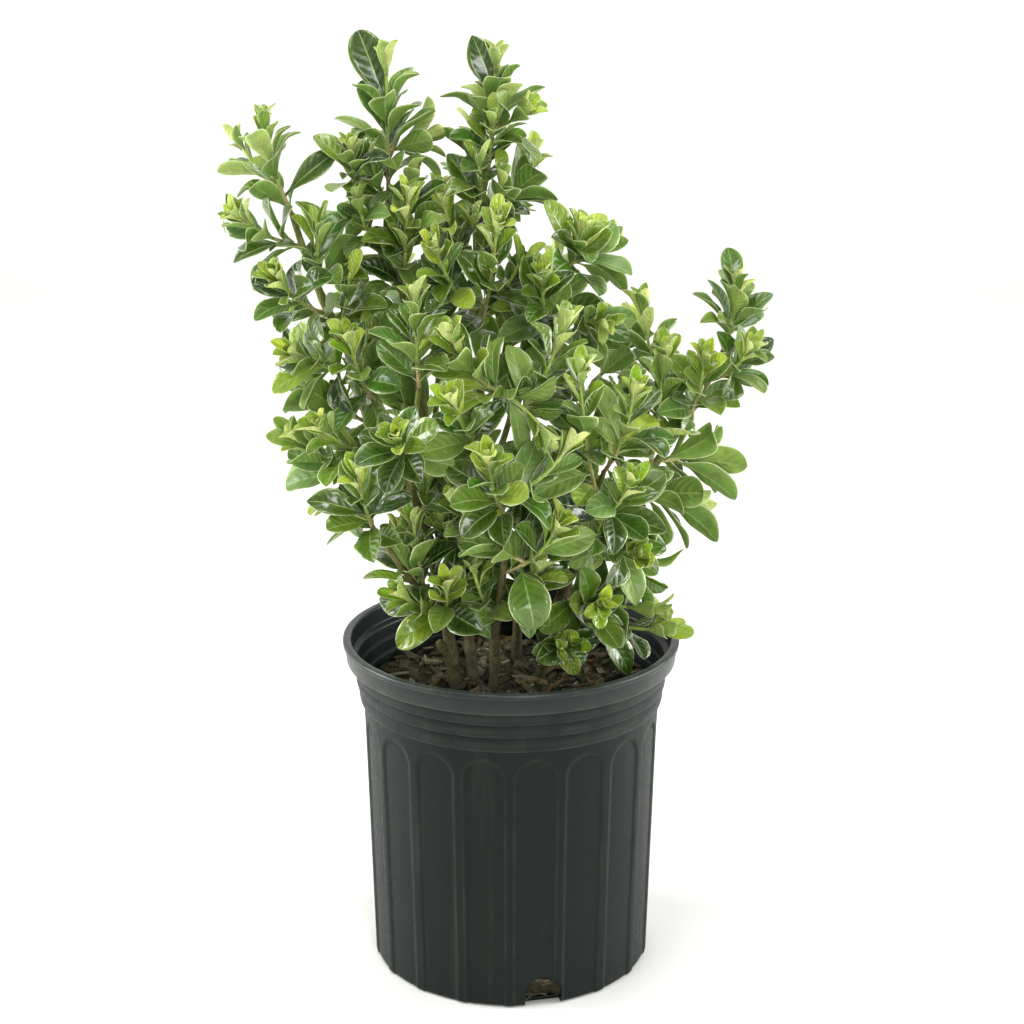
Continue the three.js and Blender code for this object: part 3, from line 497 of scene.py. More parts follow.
def makePot():
    shape = potShape
    foot, corner = shape["base"], shape["corner"]
    top, wallTop = potEdges[0][:2]
    wallRows = np.concatenate([np.linspace(corner + 1, 140, 16), np.linspace(143, 186, 26)])

    def wallRadius(z):
        return foot + (top - foot) * (z - corner) / (wallTop - corner)

    profile = [(30.0, 0.0), (60.0, 0.0), (86.0, 0.0)]
    footRow = len(profile)
    for angle in np.linspace(0, math.pi / 2, 5):
        profile.append((foot - corner * (1 - math.sin(angle)), corner * (1 - math.cos(angle))))
    profile += [(wallRadius(z), z) for z in wallRows]
    outerRows = len(profile)
    profile += [tuple(p) for p in roundedPath(potEdges)]
    inner, innerTop = shape["innerFoot"], shape["innerTop"]
    profile += [(inner + (innerTop - inner) * z / shape["innerHeight"], z) for z in (150, 100, 50, 8)]
    profile += [(91.4, 3.4)] + [(radius, shape["floor"]) for radius in (86.0, 60.0, 30.0)]
    profile = np.array(profile)
    heights = profile[:, 1]
    rows, columns = len(profile), shape["columns"]
    turn = np.radians(shape["firstFlute"]) + np.arange(columns) * 2 * math.pi / columns
    pitch = 2 * math.pi / shape["flutes"]
    half = math.radians(shape["fluteAngle"] / 2)
    off = (turn - math.radians(shape["firstFlute"]) + pitch / 2) % pitch - pitch / 2
    archHalf = top * math.sin(half)
    spring = shape["fluteTop"] - archHalf
    deep = shape["middleDepth"] - shape["edgeDepth"]
    depth = shape["edgeDepth"] + deep * np.clip(1 - (off / half) ** 2, 0, 1)

    points, edge = [], np.zeros((rows, columns))
    for row, (radius, z) in enumerate(profile):
        ring = np.full(columns, radius)
        if footRow <= row < outerRows:
            wall = wallRadius(max(z, corner))
            across = np.abs(wall * np.sin(off))
            inside = wall * math.sin(half) - across
            if z > spring:
                inside = archHalf - np.hypot(across, z - spring)
            ring = ring - depth * smooth(-0.35, 0.85, inside)
            # flute edges are painted paler: a painted highlight along them, with some rubbing
            edge[row] = np.exp(-((inside + 0.7) / 0.6) ** 2) * shape["ridgeWearAndHighlight"]
        if row >= outerRows and z > shape["wobbleFrom"]:
            # the lip and band are a little out of true
            place = np.column_stack([np.sin(turn), -np.cos(turn), np.full(columns, z / 90)])
            ring = ring + shape["wobble"] * lumps(place, 0.35, 3)
        points.append(np.column_stack([ring * np.sin(turn), -ring * np.cos(turn), np.full(columns, z)]))
    points = np.array(points)
    lipRows = heights > shape["lipFrom"]
    points[lipRows, :, 2] += shape["wobble"] * lumps(
        np.column_stack([np.sin(turn), np.cos(turn), np.zeros(columns)]), 0.4, 8)
    # edges of the rings and the lip are painted paler: some rubbing, and a painted highlight where they
    # catch light
    bend = np.zeros(rows)
    for i in range(1, rows - 1):
        a, b = unit(profile[i] - profile[i - 1]), unit(profile[i + 1] - profile[i])
        bend[i] = max(0.0, a[0] * b[1] - a[1] * b[0])
    innerRow = int(np.argmax(heights)) + 4
    edge[outerRows:innerRow] += np.clip(bend[outerRows:innerRow, None] * 2.2, 0, 1)
    # the lip rows are painted paler still: a painted highlight along the lip, with some rubbing
    edge[lipRows] += shape["lipWearAndHighlight"]
    dull = np.where(np.arange(rows) >= innerRow - 3, 1.0, 0.0)
    collar = (smooth(184, 189, heights) + smooth(212, 218, heights)) / 2

    uv = np.stack(np.broadcast_arrays(np.arange(columns)[None, :] / columns,
                                      np.arange(rows)[:, None] / rows), axis=-1)
    faces = gridFaces(rows, columns, closed=True)
    last, total = (rows - 1) * columns, rows * columns
    faces += [((j + 1) % columns, j, total) for j in range(columns)]
    faces += [(last + j, last + (j + 1) % columns, total + 1) for j in range(columns)]
    body = np.concatenate([points.reshape(-1, 3), [[0, 0, 0], [0, 0, shape["floor"]]]])
    pile = MeshPile()
    pile.add(body, faces, np.concatenate([uv.reshape(-1, 2), np.zeros((2, 2))]),
             age=np.append(edge.reshape(-1), [0, 0]),
             under=np.append(np.repeat(dull, columns), [0, 1]),
             tint=np.append(np.repeat(collar, columns), [0, 0]))
    pot = pile.build("nurseryPot", [potMaterial])
    cutDrains(pot)
    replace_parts(pot, "nursery_pot")


def drainAt(number):
    # the angle of a drain hole from the front, and the ways out of it and across it
    angle = math.radians(potShape["firstDrain"] + number * 360 / potShape["drains"])
    c, s = math.cos(angle), math.sin(angle)
    return angle, np.array([s, -c, 0.0]), np.array([c, s, 0.0])


def cutDrains(pot):
    shape = potShape
    cutters = MeshPile()
    half = shape["drainWidth"] / 2
    spring = shape["drainHeight"] - half
    outline = np.array([(-half, -5.0), (half, -5.0)] + [
        (half * math.cos(a), spring + half * math.sin(a)) for a in np.linspace(0, math.pi, 25)])
    count = len(outline)
    faces = gridFaces(2, count, closed=True, turned=True)
    faces += [tuple(range(count)), tuple(range(count, 2 * count))[::-1]]
    for number in range(shape["drains"]):
        angle, out, across = drainAt(number)
        cutters.add(np.concatenate([
            out * reach + across * outline[:, :1] + np.array([0, 0, 1.0]) * outline[:, 1:]
            for reach in shape["drainReach"]]), faces)
    cutter = cutters.build("drainCutter", [])
    cut = pot.modifiers.new("drains", "BOOLEAN")
    cut.operation, cut.object, cut.solver = "DIFFERENCE", cutter, "EXACT"
    shown = pot.evaluated_get(bpy.context.evaluated_depsgraph_get())
    pot.data = bpy.data.meshes.new_from_object(shown)
    pot.modifiers.clear()
    bpy.data.objects.remove(cutter)


makePot()
print("pot made")

# potting mix, in mm

mixShape = {
    "top": 195, "relief": 2.2, "edgeDrop": 2.5, "radius": 99.7, "bottomRadius": 92.38,
    "topRadius": 97.5, "hollow": 9.0, "rings": 44, "columns": 144,
    "chips": 420, "crumbs": 520, "shreds": 26, "chipReach": 95, "crumbReach": 96, "edge": 99.5,
    "chipLength": (7, 15), "longChip": (15, 27), "crumbSize": ((2, 5.5), (1.5, 3), (1, 2.2)),
    "shredSize": ((8, 17), (1.2, 3.2), (0.8, 1.8)),
}


def mixHeight(x, y):
    radius = np.hypot(x, y) / potShape["rim"]
    waves = np.sin(x * 0.11 + 0.6) * np.cos(y * 0.093) + 0.6 * np.sin(x * 0.05 - y * 0.17)
    return mixShape["top"] + mixShape["relief"] * waves - mixShape["edgeDrop"] * radius * radius


def barkChip(pile, centre, size, turns, kind, shine, seed):
    # an angular flake: four six-sided sections along its length
    draw = seededDraws(seed)
    length, width, thick = size
    sections = []
    for share in (-0.5, -0.2, 0.22, 0.5):
        narrow = 1 - abs(share) * draw(0.4, 1.3)
        shift = draw(-0.12, 0.12) * width
        for k in range(6):
            angle = k * math.pi / 3 + 0.3
            sections.append((share * length + draw(-0.06, 0.06) * length,
                             shift + math.cos(angle) * width / 2 * narrow * draw(0.8, 1.15),
                             math.sin(angle) * thick / 2 * (0.5 + 0.5 * narrow) * draw(0.75, 1.2)))
    shape = np.array(sections)
    for (i, j), angle in zip(((1, 2), (2, 0), (0, 1)), turns):
        c, s = math.cos(angle), math.sin(angle)
        first, second = shape[:, i].copy(), shape[:, j].copy()
        shape[:, i], shape[:, j] = first * c - second * s, first * s + second * c
    faces = gridFaces(4, 6, closed=True) + [(5, 4, 3, 2, 1, 0), (18, 19, 20, 21, 22, 23)]
    pile.add(shape + centre, faces, age=kind, tint=shine, flat=True)


def makePottingMix():
    shape = mixShape
    draw = seededDraws(77)
    pile = MeshPile()
    rings, columns, foot = shape["rings"], shape["columns"], shape["bottomRadius"]
    angles = np.arange(columns) * 2 * math.pi / columns
    points = []
    for i in range(1, rings + 1):
        radius = shape["radius"] * i / rings
        flat = ringAt(radius, angles, 0.0)
        rough = 1.5 * lumps(flat, 9.0, 1) + 0.9 * lumps(flat, 3.2, 2)
        points.append(ringAt(radius, angles, mixHeight(flat[:, 0], flat[:, 1]) + rough))
    # the outside of the root ball, hollowed behind each drain hole
    pitch = 2 * math.pi / potShape["drains"]
    fromDrain = (angles + math.pi / 2 - math.radians(potShape["firstDrain"]) + pitch / 2) % pitch
    for z in (187.5, 150.0, 90.0, 40.0, 26.0, 22.0, 18.0, 14.0, 10.0, 6.0, 2.9):
        radius = foot + (shape["topRadius"] - foot) * z / potShape["innerHeight"]
        across = radius * np.abs(fromDrain - pitch / 2)
        hollow = smooth(16.0, 8.0, np.hypot(across, max(0.0, z - 8.0)))
        ring = radius - shape["hollow"] * hollow
        ring = ring + lumps(ringAt(ring, angles, z), 5.0, 4) * 1.2 * hollow
        points.append(ringAt(ring, angles, z))
    rows = len(points)
    body = np.concatenate(points + [np.array([[0.0, 0.0, float(mixHeight(0.0, 0.0))]])])
    last = (rows - 1) * columns
    faces = gridFaces(rows, columns, closed=True, turned=True)
    faces += [(j, (j + 1) % columns, len(body) - 1) for j in range(columns)]
    faces.append(tuple(range(last, last + columns))[::-1])
    tone = 0.12 + 0.12 * lumps(body, 7.0, 6)
    pile.add(body, faces, age=np.clip(tone, 0, 1), tint=0.15)

    def kindOf(number):
        # mostly dark or brown, some grey, a few rusty
        if number < 0.5:
            return draw(0.12, 0.42)
        if number < 0.8:
            return draw(0.42, 0.68)
        return draw(0.72, 0.88) if number < 0.96 else 1.0

    def onTop(angle, radius, lift):
        x, y = radius * math.cos(angle), radius * math.sin(angle)
        return np.array([x, y, float(mixHeight(x, y)) + lift])

    seed = 1000
    for i in range(shape["chips"]):
        angle, radius = draw(0, 2 * math.pi), shape["chipReach"] * math.sqrt(draw(0.003, 1))
        length = draw(*shape["chipLength" if i % 5 else "longChip"])
        size = (length, length * draw(0.3, 0.6), draw(1.8, 4.2))
        seed += 1
        if radius + length * 0.5 > shape["edge"]:
            continue
        centre = onTop(angle, radius, draw(0.2, 2.6))
        turns = (draw(-0.5, 0.5), draw(-0.35, 0.35), draw(0, math.pi))
        barkChip(pile, centre, size, turns, kindOf(draw()), draw(0, 0.8), seed)
    for i in range(shape["crumbs"]):
        angle, radius = draw(0, 2 * math.pi), shape["crumbReach"] * math.sqrt(draw(0.0, 1))
        seed += 1
        centre = onTop(angle, radius, draw(0.4, 2.0))
        size = [draw(*limits) for limits in shape["crumbSize"]]
        turns = (draw(0, 3), draw(-0.5, 0.5), draw(0, 3))
        barkChip(pile, centre, size, turns, kindOf(draw()), draw(0, 0.6), seed)
    # shreds of bark that show in the drain holes
    for i in range(potShape["drains"] * shape["shreds"]):
        hole, out, across = drainAt(i % potShape["drains"])
        seed += 1
        centre = out * draw(79, 87) + across * draw(-10, 10) + np.array([0, 0, draw(3.5, 17)])
        size = [draw(*limits) for limits in shape["shredSize"]]
        turns = (draw(0, 3), draw(-0.7, 0.7), hole + draw(-0.8, 0.8))
        barkChip(pile, centre, size, turns, kindOf(draw()), draw(0, 0.5), seed)
    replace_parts(pile.build("pottingMix", [mixMaterial]), "potting_mix")


makePottingMix()
print("potting mix made")

# limbs, in mm: the radius at each end and the points along it

canes = {
    "cane_left": {
        "left": (4.6, 2, [(-36, -4, 172), (-43, -1, 235), (-58, 7, 305), (-80, 10, 372),
                            (-110, 7, 432), (-129, 1, 480), (-141, -2, 520)]),
        "leftLow": (2.7, 1.8, [(-46, 1, 248), (-62, -22, 272), (-86, -44, 316)]),
        "leftFront": (2.8, 1.8, [(-57, 6, 300), (-66, -26, 340), (-62, -54, 388), (-58, -62, 420)]),
        "cutStub": (3.3, 2.8, [(-38, -3, 208), (-49, -7, 229)]),
    },
    "cane_tall_left": {
        "tallLeft": (4, 1.8, [(-24, 13, 172), (-31, 17, 240), (-46, 24, 320), (-62, 27, 400),
                                (-73, 27, 470), (-80, 24, 532)]),
        "tallLeftSide": (2.2, 1.7, [(-72, 27, 462), (-90, 14, 502), (-100, 3, 536)]),
        "backLeft": (2.8, 1.8, [(-44, 23, 308), (-52, 54, 352), (-50, 82, 400)]),
    },
    "cane_tall_centre": {
        "tallCentre": (4.1, 1.8, [(-9, 24, 172), (-13, 28, 240), (-17, 34, 330), (-22, 37, 420),
                                  (-22, 35, 500), (-14, 32, 552)]),
        "frontMid": (2.8, 1.8, [(-16, 33, 312), (-11, -6, 350), (-4, -44, 384), (2, -62, 410)]),
    },
    "cane_back": {
        "back": (3.6, 1.8, [(2, 50, 172), (6, 55, 240), (10, 56, 320), (13, 47, 395), (24, 36, 440),
                            (36, 25, 477)]),
        "backRight": (2.6, 1.8, [(9, 56, 304), (34, 76, 345), (58, 86, 388)]),
    },
    "cane_right": {
        "right": (4.2, 1.9, [(16, 18, 172), (27, 19, 232), (50, 17, 286), (78, 13, 322), (103, 8, 360),
                             (124, 4, 396), (141, 2, 432)]),
        "rightMid": (2.7, 1.8, [(42, 18, 270), (50, -16, 315), (60, -46, 360)]),
    },
    "cane_front": {
        "front": (3.4, 1.9, [(-12, -8, 172), (-11, -18, 232), (-7, -40, 275), (-4, -58, 310),
                             (-4, -68, 338)]),
    },
}


def limbPoint(points, share):
    # a centripetal Catmull-Rom curve through the limb's points
    count = len(points)
    place = (count - 1) * share
    k = min(int(place), count - 2)
    weight = place - k
    p1, p2 = points[k], points[k + 1]
    p0 = points[k - 1] if k > 0 else 2 * points[0] - points[1]
    p3 = points[k + 2] if k + 2 < count else 2 * points[-1] - points[-2]
    d0, d1, d2 = [math.sqrt(np.linalg.norm(b - a)) for a, b in ((p0, p1), (p1, p2), (p2, p3))]
    start = ((p1 - p0) / d0 - (p2 - p0) / (d0 + d1) + (p2 - p1) / d1) * d1
    end = ((p2 - p1) / d1 - (p3 - p1) / (d1 + d2) + (p3 - p2) / d2) * d1
    return (p1 + start * weight + (-3 * p1 + 3 * p2 - 2 * start - end) * weight ** 2
            + (2 * p1 - 2 * p2 + start + end) * weight ** 3)


limbPaths = {}
for limbs in canes.values():
    for name, (_, _, points) in limbs.items():
        knots = [np.array(p, float) for p in points]
        limbPaths[name] = np.array([limbPoint(knots, k / 200) for k in range(201)])


def seatOn(limb, height):
    path = limbPaths[limb]
    return path[int(np.argmin(np.abs(path[:, 2] - height)))]


caneShape = {"step": 4.5, "sides": 10, "ragged": 0.16, "stubEnd": 0.92,
             "knots": 0.3, "knotSize": (1.08, 1.2), "knotsOver": 2.2}


def makeCanes():
    shape = caneShape
    for number, (node, limbs) in enumerate(canes.items()):
        pile = MeshPile()
        for name, (thick, thin, _) in limbs.items():
            path = limbPaths[name]
            length = np.linalg.norm(np.diff(path, axis=0), axis=1).sum()
            steps = max(6, int(length / shape["step"]))
            picks = path[np.linspace(0, 200, steps).astype(int)]
            shares = np.linspace(0, 1, steps)
            radii = thick + (thin - thick) * shares
            draw = seededDraws(300 + number * 10 + len(name))
            for i in range(1, steps - 1):
                # knots where old leaves sat
                if draw() < shape["knots"] and radii[i] > shape["knotsOver"]:
                    radii[i] *= draw(*shape["knotSize"])
            if name == "cutStub":
                radii[-1] *= shape["stubEnd"]
            woody = np.clip(0.75 - 0.5 * shares + 0.2 * np.sin(shares * 9 + number), 0, 1)
            height = np.clip((picks[:, 2] - 190) / 300, 0, 1)
            sides = shape["sides"]
            pile.add(*tube(picks, radii, sides, ragged=shape["ragged"], seed=number),
                     tint=np.repeat(woody, sides), age=np.repeat(height, sides))
        cane = pile.build("cane" + node[5:].title().replace("_", ""), [barkMaterial])
        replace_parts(cane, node)


makeCanes()
print("canes made")

# leafy stems, in mm: limb, height of the seat on it, tip, pairs of leaves, longest leaf,
# then the side shoot's tip, the turn of the first pair in degrees and the lead leaf, if any: its pair
# and side, length, width as a share of it, spread, the way it faces and its tone, dark to grey-green

leafyStems = [
    ("left", 520, (-156, -5, 577), 4, 31, (-175, 24, 560), -45,
     (0, 0, 48, 0.4, 1.05, (-0.4, -0.9, 0.4), 0.2)),
    ("left", 499, (-169, -26, 520), 3, 33),
    ("left", 452, (-147, -42, 486), 4, 32),
    ("left", 416, (-135, -22, 431), 4, 36),
    ("left", 472, (-98, 28, 532), 3, 40),
    ("left", 392, (-102, -50, 447), 4, 36),
    ("left", 372, (-131, 18, 400), 4, 38, (-122, 48, 425)),
    ("left", 330, (-135, -22, 373), 4, 42),
    ("left", 350, (-119, -47, 388), 3, 36),
    ("leftLow", 316, (-96, -84, 368), 4, 34, (-106, -58, 337)),
    ("leftLow", 272, (-71, -18, 305), 3, 36),
    ("leftFront", 420, (-60, -67, 474), 4, 34),
    ("leftFront", 372, (-70, -96, 395), 4, 34),
    ("left", 246, (-42, -52, 281), 3, 38, (-66, -36, 268)),
    ("tallLeft", 532, (-80, 20, 612), 5, 36, (-61, 30, 562), 45,
     (3, 0, 50, 0.5, 0.45, (-0.3, -1, 0.2), 0.15)),
    ("tallLeftSide", 536, (-101, -5, 557), 4, 30),
    ("tallLeft", 474, (-66, -14, 530), 4, 33, (-50, 22, 527)),
    ("tallLeft", 424, (-107, 32, 467), 4, 36),
    ("tallLeft", 410, (-76, 78, 470), 4, 38),
    ("backLeft", 400, (-50, 104, 456), 4, 37, (-22, 92, 432)),
    ("backLeft", 356, (-81, 84, 403), 4, 40),
    ("tallCentre", 552, (-10, 30, 611), 5, 34, (4, 20, 580), 45,
     (3, 0, 44, 0.52, 0.5, (-0.2, -1, 0.3), 0.15)),
    ("tallCentre", 524, (-22, 44, 565), 3, 33),
    ("tallCentre", 505, (10, 44, 545), 4, 35),
    ("tallCentre", 478, (-43, 0, 525), 4, 32),
    ("tallCentre", 450, (-47, -38, 503), 4, 33),
    ("tallCentre", 432, (-9, -36, 518), 4, 35),
    ("tallCentre", 372, (-6, 78, 428), 4, 38),
    ("frontMid", 410, (-34, -80, 452), 4, 34, (19, -88, 401)),
    ("frontMid", 394, (32, -66, 458), 4, 36),
    ("frontMid", 362, (-35, -96, 418), 4, 36),
    ("back", 477, (45, 14, 498), 4, 38, (58, 42, 490)),
    ("back", 436, (20, -24, 481), 4, 34),
    ("back", 414, (30, 84, 470), 4, 37),
    ("back", 448, (56, -12, 451), 4, 35),
    ("backRight", 388, (81, 100, 418), 4, 38),
    ("backRight", 345, (80, 92, 385), 4, 40),
    ("right", 432, (146, 0, 469), 4, 33, None, 0, (3, 0, 34, 0.5, 0.1, (0, -1, 0.1), 0.5)),
    ("right", 408, (152, -30, 436), 4, 30),
    ("right", 382, (124, -36, 429), 4, 33),
    ("right", 372, (88, 30, 449), 4, 36),
    ("right", 352, (126, 26, 348), 4, 42),
    ("right", 342, (99, -22, 431), 5, 34),
    ("right", 326, (112, 30, 319), 3, 42),
    ("right", 296, (80, -44, 305), 4, 36, (92, -16, 265)),
    ("right", 256, (58, -48, 270), 3, 34, (92, -30, 260)),
    ("right", 222, (40, -38, 240), 3, 27),
    ("rightMid", 360, (77, -68, 415), 4, 34),
    ("rightMid", 342, (43, -88, 434), 4, 36),
    ("rightMid", 318, (74, -84, 362), 4, 36),
    ("front", 338, (-14, -106, 382), 4, 35, (33, -98, 388)),
    ("front", 292, (28, -84, 332), 3, 38, (-31, -78, 344), 45,
     (0, 1, 47, 0.66, 1.45, (0, -1, 0.25), 0.62)),
]

# inner shoots, too small for the solids, in mm: the leafy stem whose piece holds them, the limb,
# the height of the seat, the tip, pairs of leaves and the longest leaf
innerShoots = [
    (14, "left", 262, (-57, -8, 300), 3, 30),
    (11, "leftLow", 262, (-64, -36, 322), 4, 32),
    (13, "leftFront", 318, (-52, -34, 358), 3, 32),
    (17, "tallLeft", 270, (-44, -24, 318), 4, 32),
    (17, "tallLeft", 300, (-40, -34, 350), 4, 34),
    (26, "tallCentre", 262, (2, -22, 300), 4, 30),
    (27, "tallCentre", 300, (22, -36, 330), 4, 34),
    (35, "back", 262, (30, 14, 300), 3, 32),
    (34, "back", 300, (40, -4, 346), 4, 34),
    (47, "right", 240, (96, -42, 250), 2, 42),
    (47, "right", 230, (33, -58, 243), 3, 20),
    (48, "rightMid", 300, (58, -58, 330), 3, 32),
    (51, "front", 250, (-24, -46, 292), 3, 30),
    (33, "back", 395, (36, -18, 424), 3, 30),
    (22, "tallCentre", 540, (-12, 6, 578), 3, 30),
    (23, "tallCentre", 515, (-20, 2, 552), 3, 34),
    (24, "tallCentre", 495, (-6, 4, 540), 3, 36),
    (25, "tallCentre", 470, (-24, 2, 514), 3, 36),
    (24, "tallCentre", 452, (6, 0, 488), 3, 36),
    (15, "tallLeft", 520, (-90, 4, 556), 3, 30),
    (17, "tallLeft", 500, (-64, 2, 542), 3, 36),
    (17, "tallLeft", 462, (-68, -6, 500), 3, 36),
    (16, "tallLeftSide", 500, (-98, -10, 530), 3, 28),
    (2, "left", 470, (-124, -18, 512), 3, 38),
    (4, "left", 440, (-104, -20, 480), 3, 38),
    (4, "left", 405, (-94, -20, 438), 3, 36),
    (51, "front", 262, (18, -58, 298), 3, 34),
    (17, "tallLeft", 245, (-30, -34, 284), 3, 34),
    (28, "tallCentre", 262, (-10, 70, 300), 3, 34),
    (28, "tallCentre", 305, (-18, 76, 344), 4, 34),
    (34, "back", 285, (26, 92, 326), 4, 34),
    (37, "backRight", 330, (54, 96, 362), 3, 34),
    (21, "backLeft", 335, (-72, 58, 372), 3, 34),
    (8, "left", 290, (-76, 42, 330), 3, 34),
    (44, "right", 260, (52, 56, 300), 3, 34),
    (44, "right", 285, (74, 54, 322), 3, 36),
]

leafRule = {
    "stemRadius": 1.6, "tipRadius": 1.1, "seatHeight": 2.4, "sideStart": 0.38, "sideLeaf": 0.94,
    "stemBend": (0.68, 0.68, 0.36), "firstPair": 0.2, "pairSpan": 0.76,
    "tries": 12, "axis": (-8, 10), "reach": 70, "sky": 0.6,
    "extraTries": 9, "dropped": 0.9, "between": 0.96, "steeper": 0.72, "axil": 0.42, "axilShare": 0.3,
    "tuft": 1.05, "tuftRings": 4, "innerRings": 1, "innerAge": 0.6, "lastPairAge": 0.5, "leadAge": 0.08,
    "youngFrom": 0.78, "darkShare": 0.78, "plainUnder": {"solid": 22, "extra": 34, "inner": 38},
}


class Shoot:
    # a curved stem that carries pairs of leaves

    def __init__(self, start, tip, pairs, leaf, turn, lead=None):
        rule = leafRule
        self.knots = (start, start + (tip - start) * np.array(rule["stemBend"]), tip)
        self.pairs, self.leaf, self.turn, self.lead = pairs, leaf, turn, lead
        path = np.array([self.point(k / 200) for k in range(201)])
        self.length = np.linalg.norm(np.diff(path, axis=0), axis=1).sum()
        gap = rule["seatHeight"] / 2 / self.length
        self.middles = [rule["firstPair"] + rule["pairSpan"] * (pair + 0.25) / (pairs - 0.6)
                        for pair in range(pairs)]
        shares = [0.0] + [middle + side * gap for middle in self.middles for side in (-1, 1)]
        self.sections = []
        across = np.array([1.0, 0.0, 0.0])
        for share in shares:
            self.sections.append(self.frameAt(share, across))
            across = self.sections[-1]["across"]

    def point(self, t):
        a, b, c = self.knots
        return (1 - t) ** 2 * a + 2 * (1 - t) * t * b + t * t * c

    def frameAt(self, share, across):
        along = unit(self.point(min(share + 1e-4, 1)) - self.point(max(share - 1e-4, 0)))
        across = unit(across - along * across.dot(along))
        return {"centre": self.point(share), "along": along, "across": across,
                "other": np.cross(along, across), "turn": self.turn}

    def seatAt(self, share):
        below = sum(middle <= share for middle in self.middles)
        return self.frameAt(share, self.sections[max(2 * below - 1, 0)]["across"])

    def places(self):
        # pair, half, side round the stem and place from foot to tip of each leaf
        for pair in range(self.pairs):
            for half in range(2):
                yield pair, half, pair % 2 + half * 2, (pair + 1) / self.pairs


def leafAt(seat, side, spec, swing, draw):
    rule = leafRule
    turn = seat["turn"] + side * math.pi / 2 + math.pi / 4 + swing
    outward = seat["across"] * math.cos(turn) + seat["other"] * math.sin(turn)
    spread = spec["spread"] + draw(-0.16, 0.16)
    direction = unit(seat["along"] * math.cos(spread) + outward * math.sin(spread))
    up = seat["along"] * math.sin(spread) - outward * math.cos(spread)
    light = np.array([(seat["centre"][0] - rule["axis"][0]) / rule["reach"],
                      (seat["centre"][1] - rule["axis"][1]) / rule["reach"], rule["sky"]])
    up = up + np.array(spec.get("face", light), float) * spec["sunward"]
    up = unit(up - direction * up.dot(direction))
    roll = draw(-0.25, 0.25)
    up = up * math.cos(roll) + np.cross(direction, up) * math.sin(roll)
    length = spec["length"] * draw(0.88, 1.1)
    return {"root": seat["centre"] + outward * rule["stemRadius"] * 0.5, "along": direction, "up": up,
            "side": np.cross(direction, up), "length": length, "width": length * draw(*spec["width"]),
            "bend": spec["bend"] * draw(0.6, 1.4), "fold": spec["fold"] * draw(0.7, 1.2)}


def leafSpec(place, longest):
    spec = {"spread": 0.86 - 0.56 * place * place, "sunward": 0.6 - 0.5 * place}
    if place > 0.7:
        return {**spec, "width": (0.46, 0.55), "fold": 0.5, "bend": 0.3,
                "length": longest * (1.36 - 0.72 * place)}
    return {**spec, "width": (0.47, 0.55), "fold": 0.36, "bend": 0.65 - 0.3 * place,
            "length": longest * (1.22 - 0.2 * place)}


def bladeAxis(leaf, share):
    # points along the middle of a blade that bends evenly, and its normal at each
    along, up, outer = leaf["along"], leaf["up"], np.multiply.outer
    turned = leaf["bend"] * share
    forward = leaf["length"] * np.sin(turned) / leaf["bend"]
    sunk = leaf["length"] * (1 - np.cos(turned)) / leaf["bend"]
    return (leaf["root"] + outer(forward, along) - outer(sunk, up),
            outer(np.cos(turned), up) + outer(np.sin(turned), along))


def widthAt(t, blunt=0.62, foot=1.0):
    # share of the blade's width: a low blunt rounds the tip, a high foot narrows the base
    inner = np.clip((np.asarray(t, float) - 0.07) / 0.93, 0, 1)
    peak = foot / (foot + blunt)
    return inner ** foot * (1 - inner) ** blunt / (peak ** foot * (1 - peak) ** blunt)


bladeRows = np.array([0, 0.05, 0.1, 0.15, 0.22, 0.3, 0.38, 0.47, 0.56, 0.65, 0.74, 0.82, 0.89,
                      0.945, 0.98, 1.0])
smallRows = np.array([0, 0.08, 0.16, 0.28, 0.42, 0.56, 0.7, 0.83, 0.92, 0.975, 1.0])
bladeColumns = np.array([-1, -0.68, -0.36, -0.09, 0, 0.09, 0.36, 0.68, 1])
smallColumns = np.array([-1, -0.5, -0.1, 0.1, 0.5, 1])


# each range is drawn once for a leaf; wave, sweep and curl are shares of its length
bladeShape = {
    "blunt": (0.54, 0.94), "foot": (0.95, 1.25), "wave": (0.012, 0.034), "beats": (1.2, 2.6),
    "sweep": 0.06, "twist": 0.22, "rolled": 0.3, "roll": (0.08, 0.2), "curl": (-0.05, 0.06),
    "cup": (1.3, 1.9), "stalk": 0.45, "thick": 0.22, "stalkThick": 0.45, "rib": 0.014,
}


